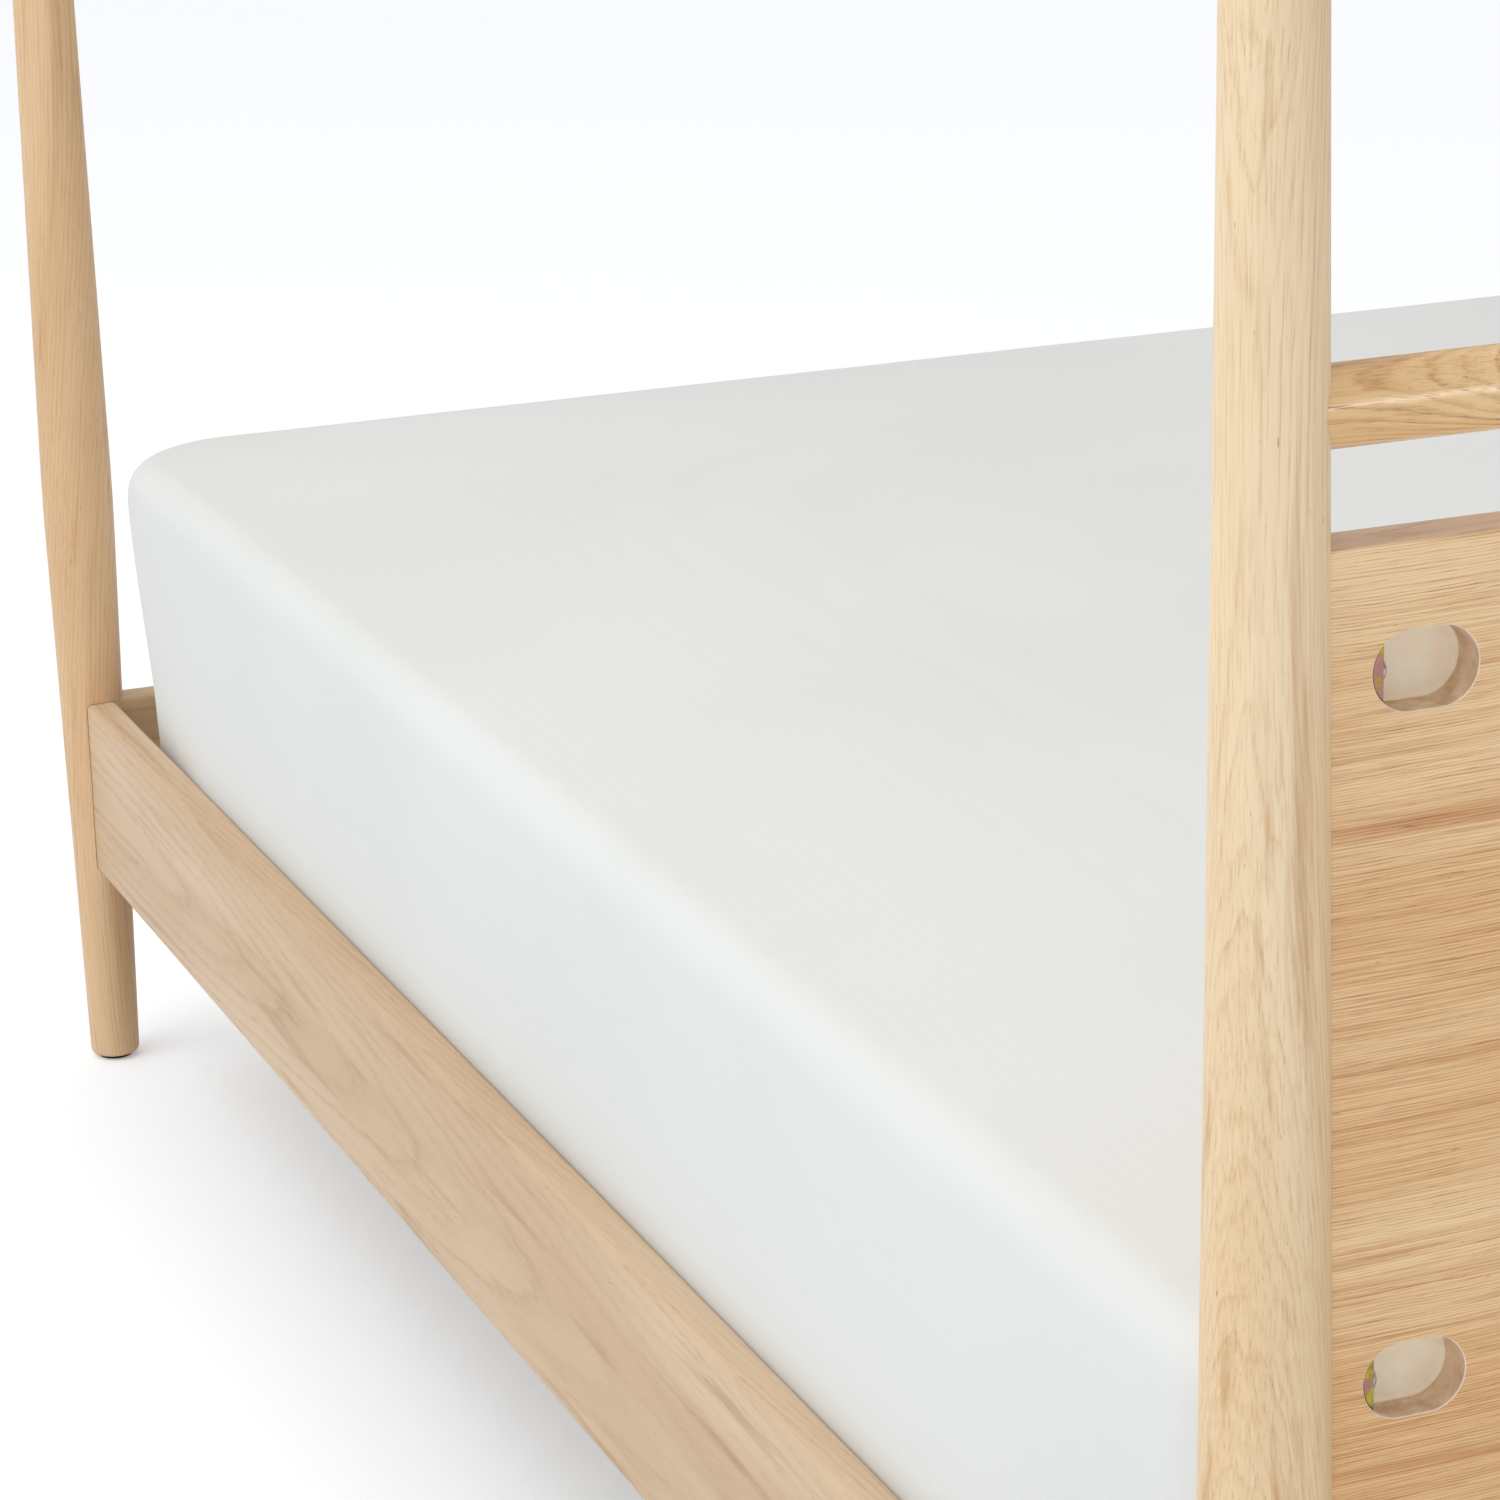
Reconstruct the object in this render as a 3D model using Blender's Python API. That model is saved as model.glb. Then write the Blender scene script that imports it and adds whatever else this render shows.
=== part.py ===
"""Four poster canopy bed in oak, queen size, standing on the floor.

Metres, +Z up. The origin is on the floor under the middle of the bed. The head is at +Y and the foot at -Y,
and +X is the right side as seen from the foot.
"""

import math

import bmesh
import bpy
from mathutils import Matrix, Vector

# Clearance between pieces that touch, and how far a hole goes past the end of what it holds.
GAP = 0.0003
SPARE = 0.001

# Posts: the places of their axes, and the turned shape.
POST_X = 0.785
POST_Y = 1.050
POST_TOP = 2.030
POST_BOTTOM = 0.003
POST_FOOT_D = 0.0405
POST_BELLY_D = 0.0580
POST_TOP_D = 0.0340
BELLY_Z = 0.490
BELLY_SOFTNESS = 0.0006
UPPER_TAPER_POWER = 1.61
FOOT_ROUND = 0.005
TOP_ROUND = 0.009
POST_SIDES = 16

# Rails of the bed frame: boards on edge.
RAIL_LOW = 0.172
RAIL_HIGH = 0.318
RAIL_ROUND = 0.005
SIDE_RAIL_OUT = 0.0095
SIDE_RAIL_IN = 0.0155
CROSS_RAIL_OUT = 0.0110
CROSS_RAIL_IN = 0.0140
SIDE_RAIL_END = POST_Y - 0.0165
CROSS_RAIL_END = POST_X - 0.0185

# Headboard: a flat panel and a round rail above it.
PANEL_LOW = 0.475
PANEL_HIGH = 0.929
PANEL_HALF_T = 0.0125
PANEL_ROUND = 0.003
PANEL_END = POST_X - 0.0160
TOP_RAIL_Z = 0.984
TOP_RAIL_D = 0.0345
TOP_RAIL_END = POST_X - 0.0145
TOP_RAIL_TENON_D = 0.018
TOP_RAIL_TENON = 0.016

# Canopy: round rails, slimmer at their ends.
CANOPY_Z = 1.985
CANOPY_MID_D = 0.030
CANOPY_END_D = 0.020
CANOPY_INSET = 0.0125
CANOPY_TENON_D = 0.010
CANOPY_TENON = 0.006

# Bolt pockets: obround hollows from which a bolt goes through the board's end into the post.
POCKET_NEAR = 0.0404
POCKET_FAR = 0.0895
POCKET_R = 0.0172
POCKET_DEPTH = 0.018
BOLT_DEPTH = 0.009
BOLT_R = 0.004
BOLT_HOLE_R = 0.0048
BOLT_REACH = 0.010
BOLT_HEAD_R = 0.0062
BOLT_HEAD_H = 0.0030
WASHER_SAGITTA = 0.0055
WASHER_BACK = 0.001
PANEL_BOLTS = {"upper": 0.8736, "lower": 0.5602}
SIDE_BOLT_Z = 0.275
CROSS_BOLT_Z = 0.215

# Mattress support.
LEDGE_LOW = 0.215
LEDGE_HIGH = 0.245
LEDGE_W = 0.028
LEDGE_END = POST_Y - 0.105
SLAT_COUNT = 13
SLAT_PITCH = 0.150
SLAT_T = 0.016
SLAT_W = 0.075
SLAT_END = POST_X - SIDE_RAIL_IN - 0.0043
BEAM_HALF_W = 0.016
BEAM_LOW = 0.183
BRACKET_T = 0.0025
BRACKET_L = 0.040
BRACKET_HIGH = 0.235
BRACKET_PLATE_HALF_W = 0.034
LEG_TOP_R = 0.021
LEG_BOTTOM_R = 0.016
LEG_BOTTOM = 0.028
LEG_TENON_R = 0.006
LEG_TENON = 0.020
LEG_PLACES = {"head": 0.620, "middle": 0.0, "foot": -0.620}
STUD_R = 0.004
STUD_TOP = 0.060
STUD_HOLE_TOP = 0.085
PAD_R = 0.018
PAD_H = 0.006
PAD_BEVEL_H = 0.002
PAD_BEVEL_W = 0.004
PAD_NUT_R = 0.0065
PAD_NUT_TOP = 0.011

# Mattress: a queen, 1.524 by 2.032.
MATTRESS_HALF_W = 0.762
MATTRESS_FOOT = -1.022
MATTRESS_HEAD = 1.010
MATTRESS_TOP = 0.533
MATTRESS_CORNER = 0.090
MATTRESS_ROUND = 0.040

# Glide under each post.
GLIDE_R = 0.014
GLIDE_STEM_R = 0.003
GLIDE_STEM_TOP = 0.016

COLOURS = {
    "oak": ((0.66, 0.49, 0.31), 0.45, 0.0),
    "slat_wood": ((0.72, 0.60, 0.43), 0.60, 0.0),
    "zinc": ((0.62, 0.58, 0.42), 0.30, 1.0),
    "steel": ((0.20, 0.20, 0.21), 0.40, 1.0),
    "nylon": ((0.12, 0.11, 0.10), 0.55, 0.0),
    "sheet": ((0.86, 0.87, 0.87), 0.90, 0.0),
}


def clear_scene():
    for obj in list(bpy.data.objects):
        bpy.data.objects.remove(obj, do_unlink=True)


def make_cutter_collection():
    collection = bpy.data.collections.new("cutters")
    bpy.context.scene.collection.children.link(collection)
    return collection


def material(finish, name):
    """The named piece's own material, in one of the bed's finishes."""
    colour, roughness, metallic = COLOURS[finish]
    made = bpy.data.materials.new(name + "_material")
    made.use_nodes = True
    shader = made.node_tree.nodes["Principled BSDF"]
    shader.inputs["Base Color"].default_value = (*colour, 1.0)
    shader.inputs["Roughness"].default_value = roughness
    shader.inputs["Metallic"].default_value = metallic
    return made


def mesh_from(bm, name):
    """The mesh of a closed body, all its faces pointing out."""
    bmesh.ops.recalc_face_normals(bm, faces=bm.faces)
    if bm.calc_volume(signed=True) < 0:
        bmesh.ops.reverse_faces(bm, faces=bm.faces)
    mesh = bpy.data.meshes.new(name)
    bm.to_mesh(mesh)
    bm.free()
    mesh.shade_smooth()
    mesh.set_sharp_from_angle(angle=math.radians(35))
    return mesh


def piece(name, finish, bm, parent=None, cutters=(), joined=()):
    """A sub-part of the bed, with the hollows of cutters taken out and the bodies of joined added."""
    mesh = mesh_from(bm, name)
    mesh.materials.append(material(finish, name))
    obj = bpy.data.objects.new(name, mesh)
    bpy.context.scene.collection.objects.link(obj)
    if parent is not None:
        obj.parent = parent
        obj.matrix_parent_inverse = Matrix.Translation(-parent.location)
    for operation, helpers in (("UNION", joined), ("DIFFERENCE", cutters)):
        for helper in helpers:
            modifier = obj.modifiers.new(operation.title(), "BOOLEAN")
            modifier.operation = operation
            modifier.object = helper
    return obj


def cutter(bm):
    """A helper that is never rendered: the shape of a hollow, or a body to be joined."""
    obj = bpy.data.objects.new("cutter", mesh_from(bm, "cutter"))
    obj.hide_render = True
    obj.display_type = "WIRE"
    CUTTERS.objects.link(obj)
    return obj


def board(low, high, along, rounding, grow=0.0):
    """A board between two corners, its long edges rounded. grow makes it larger all round."""
    low = Vector(low) - Vector((grow,) * 3)
    high = Vector(high) + Vector((grow,) * 3)
    bm = bmesh.new()
    place = Matrix.Translation((low + high) / 2) @ Matrix.Diagonal((*(high - low), 1.0))
    bmesh.ops.create_cube(bm, size=1.0, matrix=place)
    axis = "xyz".index(along)
    long_edges = []
    for edge in bm.edges:
        run = edge.verts[1].co - edge.verts[0].co
        if abs(run[axis]) > 0.9 * run.length:
            long_edges.append(edge)
    if rounding > 0:
        bmesh.ops.bevel(bm, geom=long_edges, offset=rounding, segments=2, profile=0.5, affect="EDGES")
    return bm


def turned(profile, sides, place):
    """A closed turned body about local Z from (radius, height) pairs, bottom to top."""
    bm = bmesh.new()
    rings = []
    for radius, height in profile:
        ring = []
        for step in range(sides):
            angle = 2 * math.pi * (step + 0.5) / sides
            ring.append(bm.verts.new((radius * math.cos(angle), radius * math.sin(angle), height)))
        rings.append(ring)
    for below, above in zip(rings, rings[1:]):
        for step in range(sides):
            after = (step + 1) % sides
            bm.faces.new((below[step], below[after], above[after], above[step]))
    bm.faces.new(rings[0][::-1])
    bm.faces.new(rings[-1])
    bm.transform(place)
    return bm


def prism(outline, low, high, place):
    """An outline in local XZ, given as (x, z) pairs, made solid from low to high along local Y."""
    bm = bmesh.new()
    face = bm.faces.new([bm.verts.new((x, low, z)) for x, z in outline])
    moved = bmesh.ops.extrude_face_region(bm, geom=[face])["geom"]
    upper = [item for item in moved if isinstance(item, bmesh.types.BMVert)]
    bmesh.ops.translate(bm, verts=upper, vec=(0.0, high - low, 0.0))
    bm.transform(place)
    return bm


def arc(centre_x, radius, start, end, steps):
    """Points (x, z) on a circle about (centre_x, 0), from one angle in degrees to another."""
    points = []
    for step in range(steps + 1):
        angle = math.radians(start + (end - start) * step / steps)
        points.append((centre_x + radius * math.cos(angle), radius * math.sin(angle)))
    return points


def lying(axis):
    """Turns local Z to lie along a world axis."""
    return Vector((0, 0, 1)).rotation_difference(Vector(axis)).to_matrix().to_4x4()


def bolt_frame(origin, along, out):
    """Local X along the bolt into the post, local Y out of the pocket's mouth."""
    along, out = Vector(along), Vector(out)
    rotation = Matrix((along, out, along.cross(out))).transposed()
    return Matrix.Translation(origin) @ rotation.to_4x4()


# ---- turned posts -------------------------------------------------------------------------------


def post_radius(z):
    """Radius at height z: a straight taper up to the belly, then a long hollow taper to the top."""
    lower = POST_FOOT_D + (POST_BELLY_D - POST_FOOT_D) * z / BELLY_Z
    rise = min(max((POST_TOP - z) / (POST_TOP - BELLY_Z), 0.0), 2.0)
    upper = POST_TOP_D + (POST_BELLY_D - POST_TOP_D) * rise**UPPER_TAPER_POWER
    blend = math.exp(-lower / BELLY_SOFTNESS) + math.exp(-upper / BELLY_SOFTNESS)
    return -BELLY_SOFTNESS * math.log(blend) / 2


def post_profile():
    """(radius, height) pairs up the post: rounded foot, the two tapers, rounded top."""
    pairs = []
    for angle in (-90, -45, 0):
        inset = FOOT_ROUND * (1 - math.cos(math.radians(angle)))
        height = POST_BOTTOM + FOOT_ROUND * (1 + math.sin(math.radians(angle)))
        pairs.append((post_radius(height) - inset, height))
    heights = [0.25, 0.42, 0.47, 0.50, 0.55, 0.70, 0.90, 1.20, 1.60]
    pairs += [(post_radius(height), height) for height in heights]
    for angle in (0, 45, 85):
        inset = TOP_ROUND * (1 - math.cos(math.radians(angle)))
        height = POST_TOP - TOP_ROUND * (1 - math.sin(math.radians(angle)))
        pairs.append((post_radius(height) - inset, height))
    return pairs


# ---- bolts and their pockets --------------------------------------------------------------------


def panel_bolt_frame(side, z):
    origin = (side * POST_X, POST_Y + PANEL_HALF_T - BOLT_DEPTH, z)
    return bolt_frame(origin, (side, 0, 0), (0, 1, 0))


def side_rail_bolt_frame(side, end):
    origin = (side * (POST_X - SIDE_RAIL_IN + BOLT_DEPTH), end * POST_Y, SIDE_BOLT_Z)
    return bolt_frame(origin, (0, end, 0), (-side, 0, 0))


def cross_rail_bolt_frame(side, end):
    origin = (side * POST_X, end * (POST_Y - CROSS_RAIL_IN + BOLT_DEPTH), CROSS_BOLT_Z)
    return bolt_frame(origin, (side, 0, 0), (0, -end, 0))


def bolt_hole(frame):
    """The hole from the pocket through the board's end into the post."""
    start = -(POCKET_NEAR + 2 * WASHER_SAGITTA)
    length = BOLT_REACH + SPARE - start
    place = frame @ Matrix.Translation((start, 0, 0)) @ lying((1, 0, 0))
    return cutter(turned([(BOLT_HOLE_R, 0.0), (BOLT_HOLE_R, length)], 8, place))


def pocket(frame):
    """The obround hollow in the board's face."""
    near = arc(-POCKET_NEAR - POCKET_R, POCKET_R, -90, 90, 8)
    far = arc(-POCKET_FAR + POCKET_R, POCKET_R, 90, 270, 8)
    return cutter(prism(near + far, BOLT_DEPTH - POCKET_DEPTH, BOLT_DEPTH + SPARE, frame))


def bolt(frame):
    """Bolt with a low domed head, which stands on the half-moon washer."""
    seat = -(POCKET_NEAR + WASHER_SAGITTA + GAP)
    profile = []
    for angle in (70, 35, 0):
        rise = BOLT_HEAD_H * math.sin(math.radians(angle))
        profile.append((BOLT_HEAD_R * math.cos(math.radians(angle)), seat - rise))
    profile += [(BOLT_R, seat), (BOLT_R, BOLT_REACH)]
    return turned(profile, 10, frame @ lying((1, 0, 0)))


def half_moon(frame):
    """The half-moon washer that fills the pocket's round end."""
    radius = POCKET_R - 2 * GAP
    centre = -POCKET_NEAR - POCKET_R
    half = math.degrees(math.acos((POCKET_R - WASHER_SAGITTA) / radius))
    outline = arc(centre, radius, -half, half, 6)
    return prism(outline, BOLT_DEPTH - POCKET_DEPTH + GAP, BOLT_DEPTH - WASHER_BACK, frame)


# ---- rails --------------------------------------------------------------------------------------


def side_rail_corners(side):
    across = sorted((side * (POST_X - SIDE_RAIL_IN), side * (POST_X + SIDE_RAIL_OUT)))
    return (across[0], -SIDE_RAIL_END, RAIL_LOW), (across[1], SIDE_RAIL_END, RAIL_HIGH)


def cross_rail_corners(end):
    across = sorted((end * (POST_Y - CROSS_RAIL_IN), end * (POST_Y + CROSS_RAIL_OUT)))
    return (-CROSS_RAIL_END, across[0], RAIL_LOW), (CROSS_RAIL_END, across[1], RAIL_HIGH)


def panel_corners():
    low = (-PANEL_END, POST_Y - PANEL_HALF_T, PANEL_LOW)
    return low, (PANEL_END, POST_Y + PANEL_HALF_T, PANEL_HIGH)


def top_rail(grow=0.0):
    """The round rail above the panel, of one thickness, with a tenon at each end."""
    end = TOP_RAIL_END + grow
    half = [(TOP_RAIL_TENON_D, end + TOP_RAIL_TENON), (TOP_RAIL_TENON_D, end), (TOP_RAIL_D, end)]
    place = Matrix.Translation((0, POST_Y, TOP_RAIL_Z)) @ lying((1, 0, 0))
    return turned(mirrored_profile(half, grow), 16, place)


def canopy_rail(centre, axis, half_length, grow=0.0):
    """A round canopy rail, thickest at its middle, with a tenon at each end."""
    end = half_length + grow
    half = [(CANOPY_TENON_D, end + CANOPY_TENON), (CANOPY_TENON_D, end), (CANOPY_END_D, end)]
    for share in (0.8, 0.4):
        width = CANOPY_END_D + (CANOPY_MID_D - CANOPY_END_D) * (1 - share**2)
        half.append((width, half_length * share))
    return turned(mirrored_profile(half, grow), 12, Matrix.Translation(centre) @ lying(axis))


def mirrored_profile(half, grow):
    """(radius, height) pairs of a whole rail from (diameter, distance) pairs of one half, end first."""
    first = [(width / 2 + grow, -distance) for width, distance in half]
    second = [(width / 2 + grow, distance) for width, distance in reversed(half)]
    return first + second


CANOPY_RAILS = {
    "canopy_rail_left": ((-POST_X, 0, CANOPY_Z), (0, 1, 0), POST_Y - CANOPY_INSET),
    "canopy_rail_right": ((POST_X, 0, CANOPY_Z), (0, 1, 0), POST_Y - CANOPY_INSET),
    "canopy_rail_foot": ((0, -POST_Y, CANOPY_Z), (1, 0, 0), POST_X - CANOPY_INSET),
    "canopy_rail_head": ((0, POST_Y, CANOPY_Z), (1, 0, 0), POST_X - CANOPY_INSET),
}
SIDES = {"left": -1, "right": 1}
ENDS = {"foot": -1, "head": 1}


# ---- assembly -----------------------------------------------------------------------------------


def make_posts(parent):
    """Four posts, each hollowed for the rails, tenons and bolts that enter it."""
    side_cuts = {s: cutter(board(*side_rail_corners(s), "y", RAIL_ROUND, GAP)) for s in (-1, 1)}
    cross_cuts = {e: cutter(board(*cross_rail_corners(e), "x", RAIL_ROUND, GAP)) for e in (-1, 1)}
    panel_cut = cutter(board(*panel_corners(), "x", PANEL_ROUND, GAP))
    top_rail_cut = cutter(top_rail(GAP))
    canopy_cuts = {name: cutter(canopy_rail(*where, GAP)) for name, where in CANOPY_RAILS.items()}
    for end_name, end in ENDS.items():
        for side_name, side in SIDES.items():
            place = Matrix.Translation((side * POST_X, end * POST_Y, 0))
            stem = [(GLIDE_STEM_R + GAP, 0.0), (GLIDE_STEM_R + GAP, GLIDE_STEM_TOP + SPARE)]
            cuts = [side_cuts[side], cross_cuts[end], cutter(turned(stem, 12, place))]
            cuts += [canopy_cuts["canopy_rail_" + side_name], canopy_cuts["canopy_rail_" + end_name]]
            cuts += [bolt_hole(side_rail_bolt_frame(side, end)), bolt_hole(cross_rail_bolt_frame(side, end))]
            if end_name == "head":
                cuts += [panel_cut, top_rail_cut]
                cuts += [bolt_hole(panel_bolt_frame(side, z)) for z in PANEL_BOLTS.values()]
            name = f"{end_name}_post_{side_name}"
            piece(name, "oak", turned(post_profile(), POST_SIDES, place), parent, cuts)


def make_glides(parent):
    for end_name, end in ENDS.items():
        for side_name, side in SIDES.items():
            top = POST_BOTTOM - GAP
            profile = [(GLIDE_R, 0.0), (GLIDE_R, top), (GLIDE_STEM_R, top), (GLIDE_STEM_R, GLIDE_STEM_TOP)]
            place = Matrix.Translation((side * POST_X, end * POST_Y, 0))
            piece(f"glide_{end_name}_{side_name}", "nylon", turned(profile, 12, place), parent)


def rail_bolt(name, frame, parent):
    """A bolt that holds a rail to a post, with its half-moon washer pressed on."""
    piece(name, "zinc", half_moon(frame), parent, joined=[cutter(bolt(frame))])


def make_bed_rails(parent):
    for side_name, side in SIDES.items():
        frames = {end_name: side_rail_bolt_frame(side, end) for end_name, end in ENDS.items()}
        cuts = [shape(frame) for frame in frames.values() for shape in (pocket, bolt_hole)]
        rail = board(*side_rail_corners(side), "y", RAIL_ROUND)
        piece(f"side_rail_{side_name}", "oak", rail, parent, cuts)
        for end_name, frame in frames.items():
            rail_bolt(f"side_rail_bolt_{end_name}_{side_name}", frame, parent)
    for end_name, end in ENDS.items():
        frames = {side_name: cross_rail_bolt_frame(side, end) for side_name, side in SIDES.items()}
        cuts = [shape(frame) for frame in frames.values() for shape in (pocket, bolt_hole)]
        rail = board(*cross_rail_corners(end), "x", RAIL_ROUND)
        piece(f"{end_name}_rail", "oak", rail, parent, cuts)
        for side_name, frame in frames.items():
            rail_bolt(f"{end_name}_rail_bolt_{side_name}", frame, parent)


def make_headboard(parent):
    cuts = []
    for side_name, side in SIDES.items():
        for level, z in PANEL_BOLTS.items():
            frame = panel_bolt_frame(side, z)
            hole = bolt_hole(frame)
            cuts += [pocket(frame), hole]
            place = f"{level}_{side_name}"
            piece(f"half_moon_washer_{place}", "zinc", half_moon(frame), parent, [hole])
            piece(f"headboard_bolt_{place}", "steel", bolt(frame), parent)
    piece("headboard_panel", "oak", board(*panel_corners(), "x", PANEL_ROUND), parent, cuts)
    piece("headboard_top_rail", "oak", top_rail(), parent)


def make_canopy(parent):
    for name, where in CANOPY_RAILS.items():
        piece(name, "oak", canopy_rail(*where), parent)


def make_slats(parent):
    """Two ledges on the side rails, and the slats that lie across them."""
    for side_name, side in SIDES.items():
        across = sorted((side * (POST_X - SIDE_RAIL_IN - GAP), side * (POST_X - SIDE_RAIL_IN - LEDGE_W)))
        low = (across[0], -LEDGE_END, LEDGE_LOW)
        high = (across[1], LEDGE_END, LEDGE_HIGH)
        piece(f"slat_ledge_{side_name}", "slat_wood", board(low, high, "y", 0.0), parent)
    slat_low = LEDGE_HIGH + GAP
    for number in range(SLAT_COUNT):
        middle = SLAT_PITCH * (number - (SLAT_COUNT - 1) / 2)
        low = (-SLAT_END, middle - SLAT_W / 2, slat_low)
        high = (SLAT_END, middle + SLAT_W / 2, slat_low + SLAT_T)
        piece(f"slat_{number + 1:02d}", "slat_wood", board(low, high, "x", 0.0), parent)


def bracket(end):
    """A steel saddle on a cross rail's inner face, open upwards, in which the beam's end lies."""
    inner = BEAM_HALF_W + GAP
    outer = inner + BRACKET_T
    floor = BEAM_LOW - GAP
    right = [(outer, floor - BRACKET_T), (outer, BRACKET_HIGH), (inner, BRACKET_HIGH), (inner, floor)]
    outline = right + [(-x, z) for x, z in reversed(right)]
    face = POST_Y - CROSS_RAIL_IN - GAP
    run = sorted((end * face, end * (face - BRACKET_L)))
    saddle = prism(outline, run[0], run[1], Matrix.Identity(4))
    across = sorted((end * face, end * (face - BRACKET_T)))
    low = (-BRACKET_PLATE_HALF_W, across[0], floor - BRACKET_T)
    high = (BRACKET_PLATE_HALF_W, across[1], BRACKET_HIGH)
    return saddle, board(low, high, "x", 0.0)


def make_centre_support(parent):
    """The centre beam in its two brackets, and the legs under it."""
    for end_name, end in ENDS.items():
        saddle, plate = bracket(end)
        piece(f"beam_bracket_{end_name}", "steel", plate, parent, joined=[cutter(saddle)])
    tenon_holes = []
    beam_end = POST_Y - CROSS_RAIL_IN - BRACKET_T - 2 * GAP
    leg_top = BEAM_LOW - GAP
    for leg_name, y in LEG_PLACES.items():
        place = Matrix.Translation((0, y, 0))
        tenon_top = leg_top + LEG_TENON
        profile = [(LEG_BOTTOM_R, LEG_BOTTOM), (LEG_TOP_R, leg_top)]
        profile += [(LEG_TENON_R, leg_top), (LEG_TENON_R, tenon_top)]
        stud_hole = [(STUD_R + GAP, 0.0), (STUD_R + GAP, STUD_HOLE_TOP)]
        cuts = [cutter(turned(stud_hole, 12, place))]
        piece(f"centre_leg_{leg_name}", "oak", turned(profile, 12, place), parent, cuts)
        hole = [(LEG_TENON_R + GAP, leg_top - SPARE), (LEG_TENON_R + GAP, tenon_top + SPARE)]
        tenon_holes.append(cutter(turned(hole, 12, place)))
    low = (-BEAM_HALF_W, -beam_end, BEAM_LOW)
    high = (BEAM_HALF_W, beam_end, LEDGE_HIGH)
    piece("centre_beam", "slat_wood", board(low, high, "y", 0.0), parent, tenon_holes)


def empty(name, location):
    """An empty to group pieces, or to mark the axis that a moving piece slides along."""
    made = bpy.data.objects.new(name, None)
    made.location = location
    bpy.context.scene.collection.objects.link(made)
    return made


def make_levelling_feet():
    """A screw-in foot in each centre leg: pad, hexagon and stud in one, moving along its stud's axis."""
    for leg_name, y in LEG_PLACES.items():
        axis = empty(f"levelling_axis_{leg_name}", (0, y, 0))
        pad = [(PAD_R, 0.0), (PAD_R, PAD_H - PAD_BEVEL_H), (PAD_R - PAD_BEVEL_W, PAD_H)]
        nut = [(PAD_NUT_R, PAD_H), (PAD_NUT_R, PAD_NUT_TOP)]
        stud = [(STUD_R, PAD_NUT_TOP), (STUD_R, STUD_TOP)]
        foot = turned(pad + nut + stud, 12, Matrix.Translation((0, y, 0)))
        piece(f"levelling_foot_{leg_name}", "nylon", foot, axis)


def make_mattress():
    """The mattress as a plain soft block with rounded corners, lying loose on the slats."""
    bottom = LEDGE_HIGH + GAP + SLAT_T + GAP
    low = (-MATTRESS_HALF_W, MATTRESS_FOOT, bottom)
    high = (MATTRESS_HALF_W, MATTRESS_HEAD, MATTRESS_TOP)
    bm = board(low, high, "z", MATTRESS_CORNER)
    rims = []
    for edge in bm.edges:
        if abs(edge.verts[0].co.z - edge.verts[1].co.z) < GAP:
            rims.append(edge)
    bmesh.ops.bevel(bm, geom=rims, offset=MATTRESS_ROUND, segments=2, profile=0.5, affect="EDGES")
    middle = (0, (MATTRESS_FOOT + MATTRESS_HEAD) / 2, bottom)
    piece("mattress", "sheet", bm, empty("mattress_lift_axis", middle))


clear_scene()
CUTTERS = make_cutter_collection()
bed_frame = empty("bed_frame", (0, 0, 0))
make_posts(bed_frame)
make_glides(bed_frame)
make_bed_rails(bed_frame)
make_headboard(bed_frame)
make_canopy(bed_frame)
make_slats(bed_frame)
make_centre_support(bed_frame)
make_levelling_feet()
make_mattress()
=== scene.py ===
"""Looks for the four poster canopy bed: finely shaped oak, its metal fittings, and the mattress in its sheet.

Metres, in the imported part's frame: +Z up, the head at +Y, the foot at -Y. Every piece is built in that frame,
and its material reads coordinates that run along the piece's own grain or cloth.
"""

import math

import bmesh
import bpy
import numpy as np
from mathutils import Matrix, Vector


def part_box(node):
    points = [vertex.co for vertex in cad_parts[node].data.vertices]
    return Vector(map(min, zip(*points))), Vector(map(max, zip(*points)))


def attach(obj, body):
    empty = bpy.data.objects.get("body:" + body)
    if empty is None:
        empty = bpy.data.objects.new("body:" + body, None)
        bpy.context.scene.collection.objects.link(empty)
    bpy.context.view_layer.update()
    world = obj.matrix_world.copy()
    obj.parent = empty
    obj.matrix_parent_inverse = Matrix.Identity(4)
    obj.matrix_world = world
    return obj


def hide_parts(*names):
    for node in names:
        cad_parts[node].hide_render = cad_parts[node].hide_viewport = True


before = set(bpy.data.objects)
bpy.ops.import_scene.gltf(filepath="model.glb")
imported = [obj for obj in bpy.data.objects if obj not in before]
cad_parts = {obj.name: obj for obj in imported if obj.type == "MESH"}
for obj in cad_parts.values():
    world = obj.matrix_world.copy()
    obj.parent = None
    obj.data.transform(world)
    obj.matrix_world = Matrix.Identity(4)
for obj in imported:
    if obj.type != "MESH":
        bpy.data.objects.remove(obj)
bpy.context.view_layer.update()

# Line left open round a piece that is let into another, and the angle in degrees of a sharp edge.
SEAM = 0.0004
SHARP_FROM = 30

# Turned posts, as the part has them.
POST_TOP = 2.030
POST_BOTTOM = 0.003
POST_FOOT_D = 0.0405
POST_BELLY_D = 0.0580
POST_TOP_D = 0.0340
BELLY_Z = 0.490
BELLY_SOFTNESS = 0.0006
UPPER_TAPER_POWER = 1.61
FOOT_ROUND = 0.005
TOP_ROUND = 0.009

# Boards and round rails. A round rail stops short of each end of its CAD node, inside the post.
RAIL_ROUND = 0.005
PANEL_ROUND = 0.003
SLAT_ROUND = 0.002
TOP_RAIL_R = 0.01725
TOP_RAIL_SHORT = 0.016
CANOPY_MID_R = 0.015
CANOPY_END_R = 0.010
CANOPY_SHORT = 0.006

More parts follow.
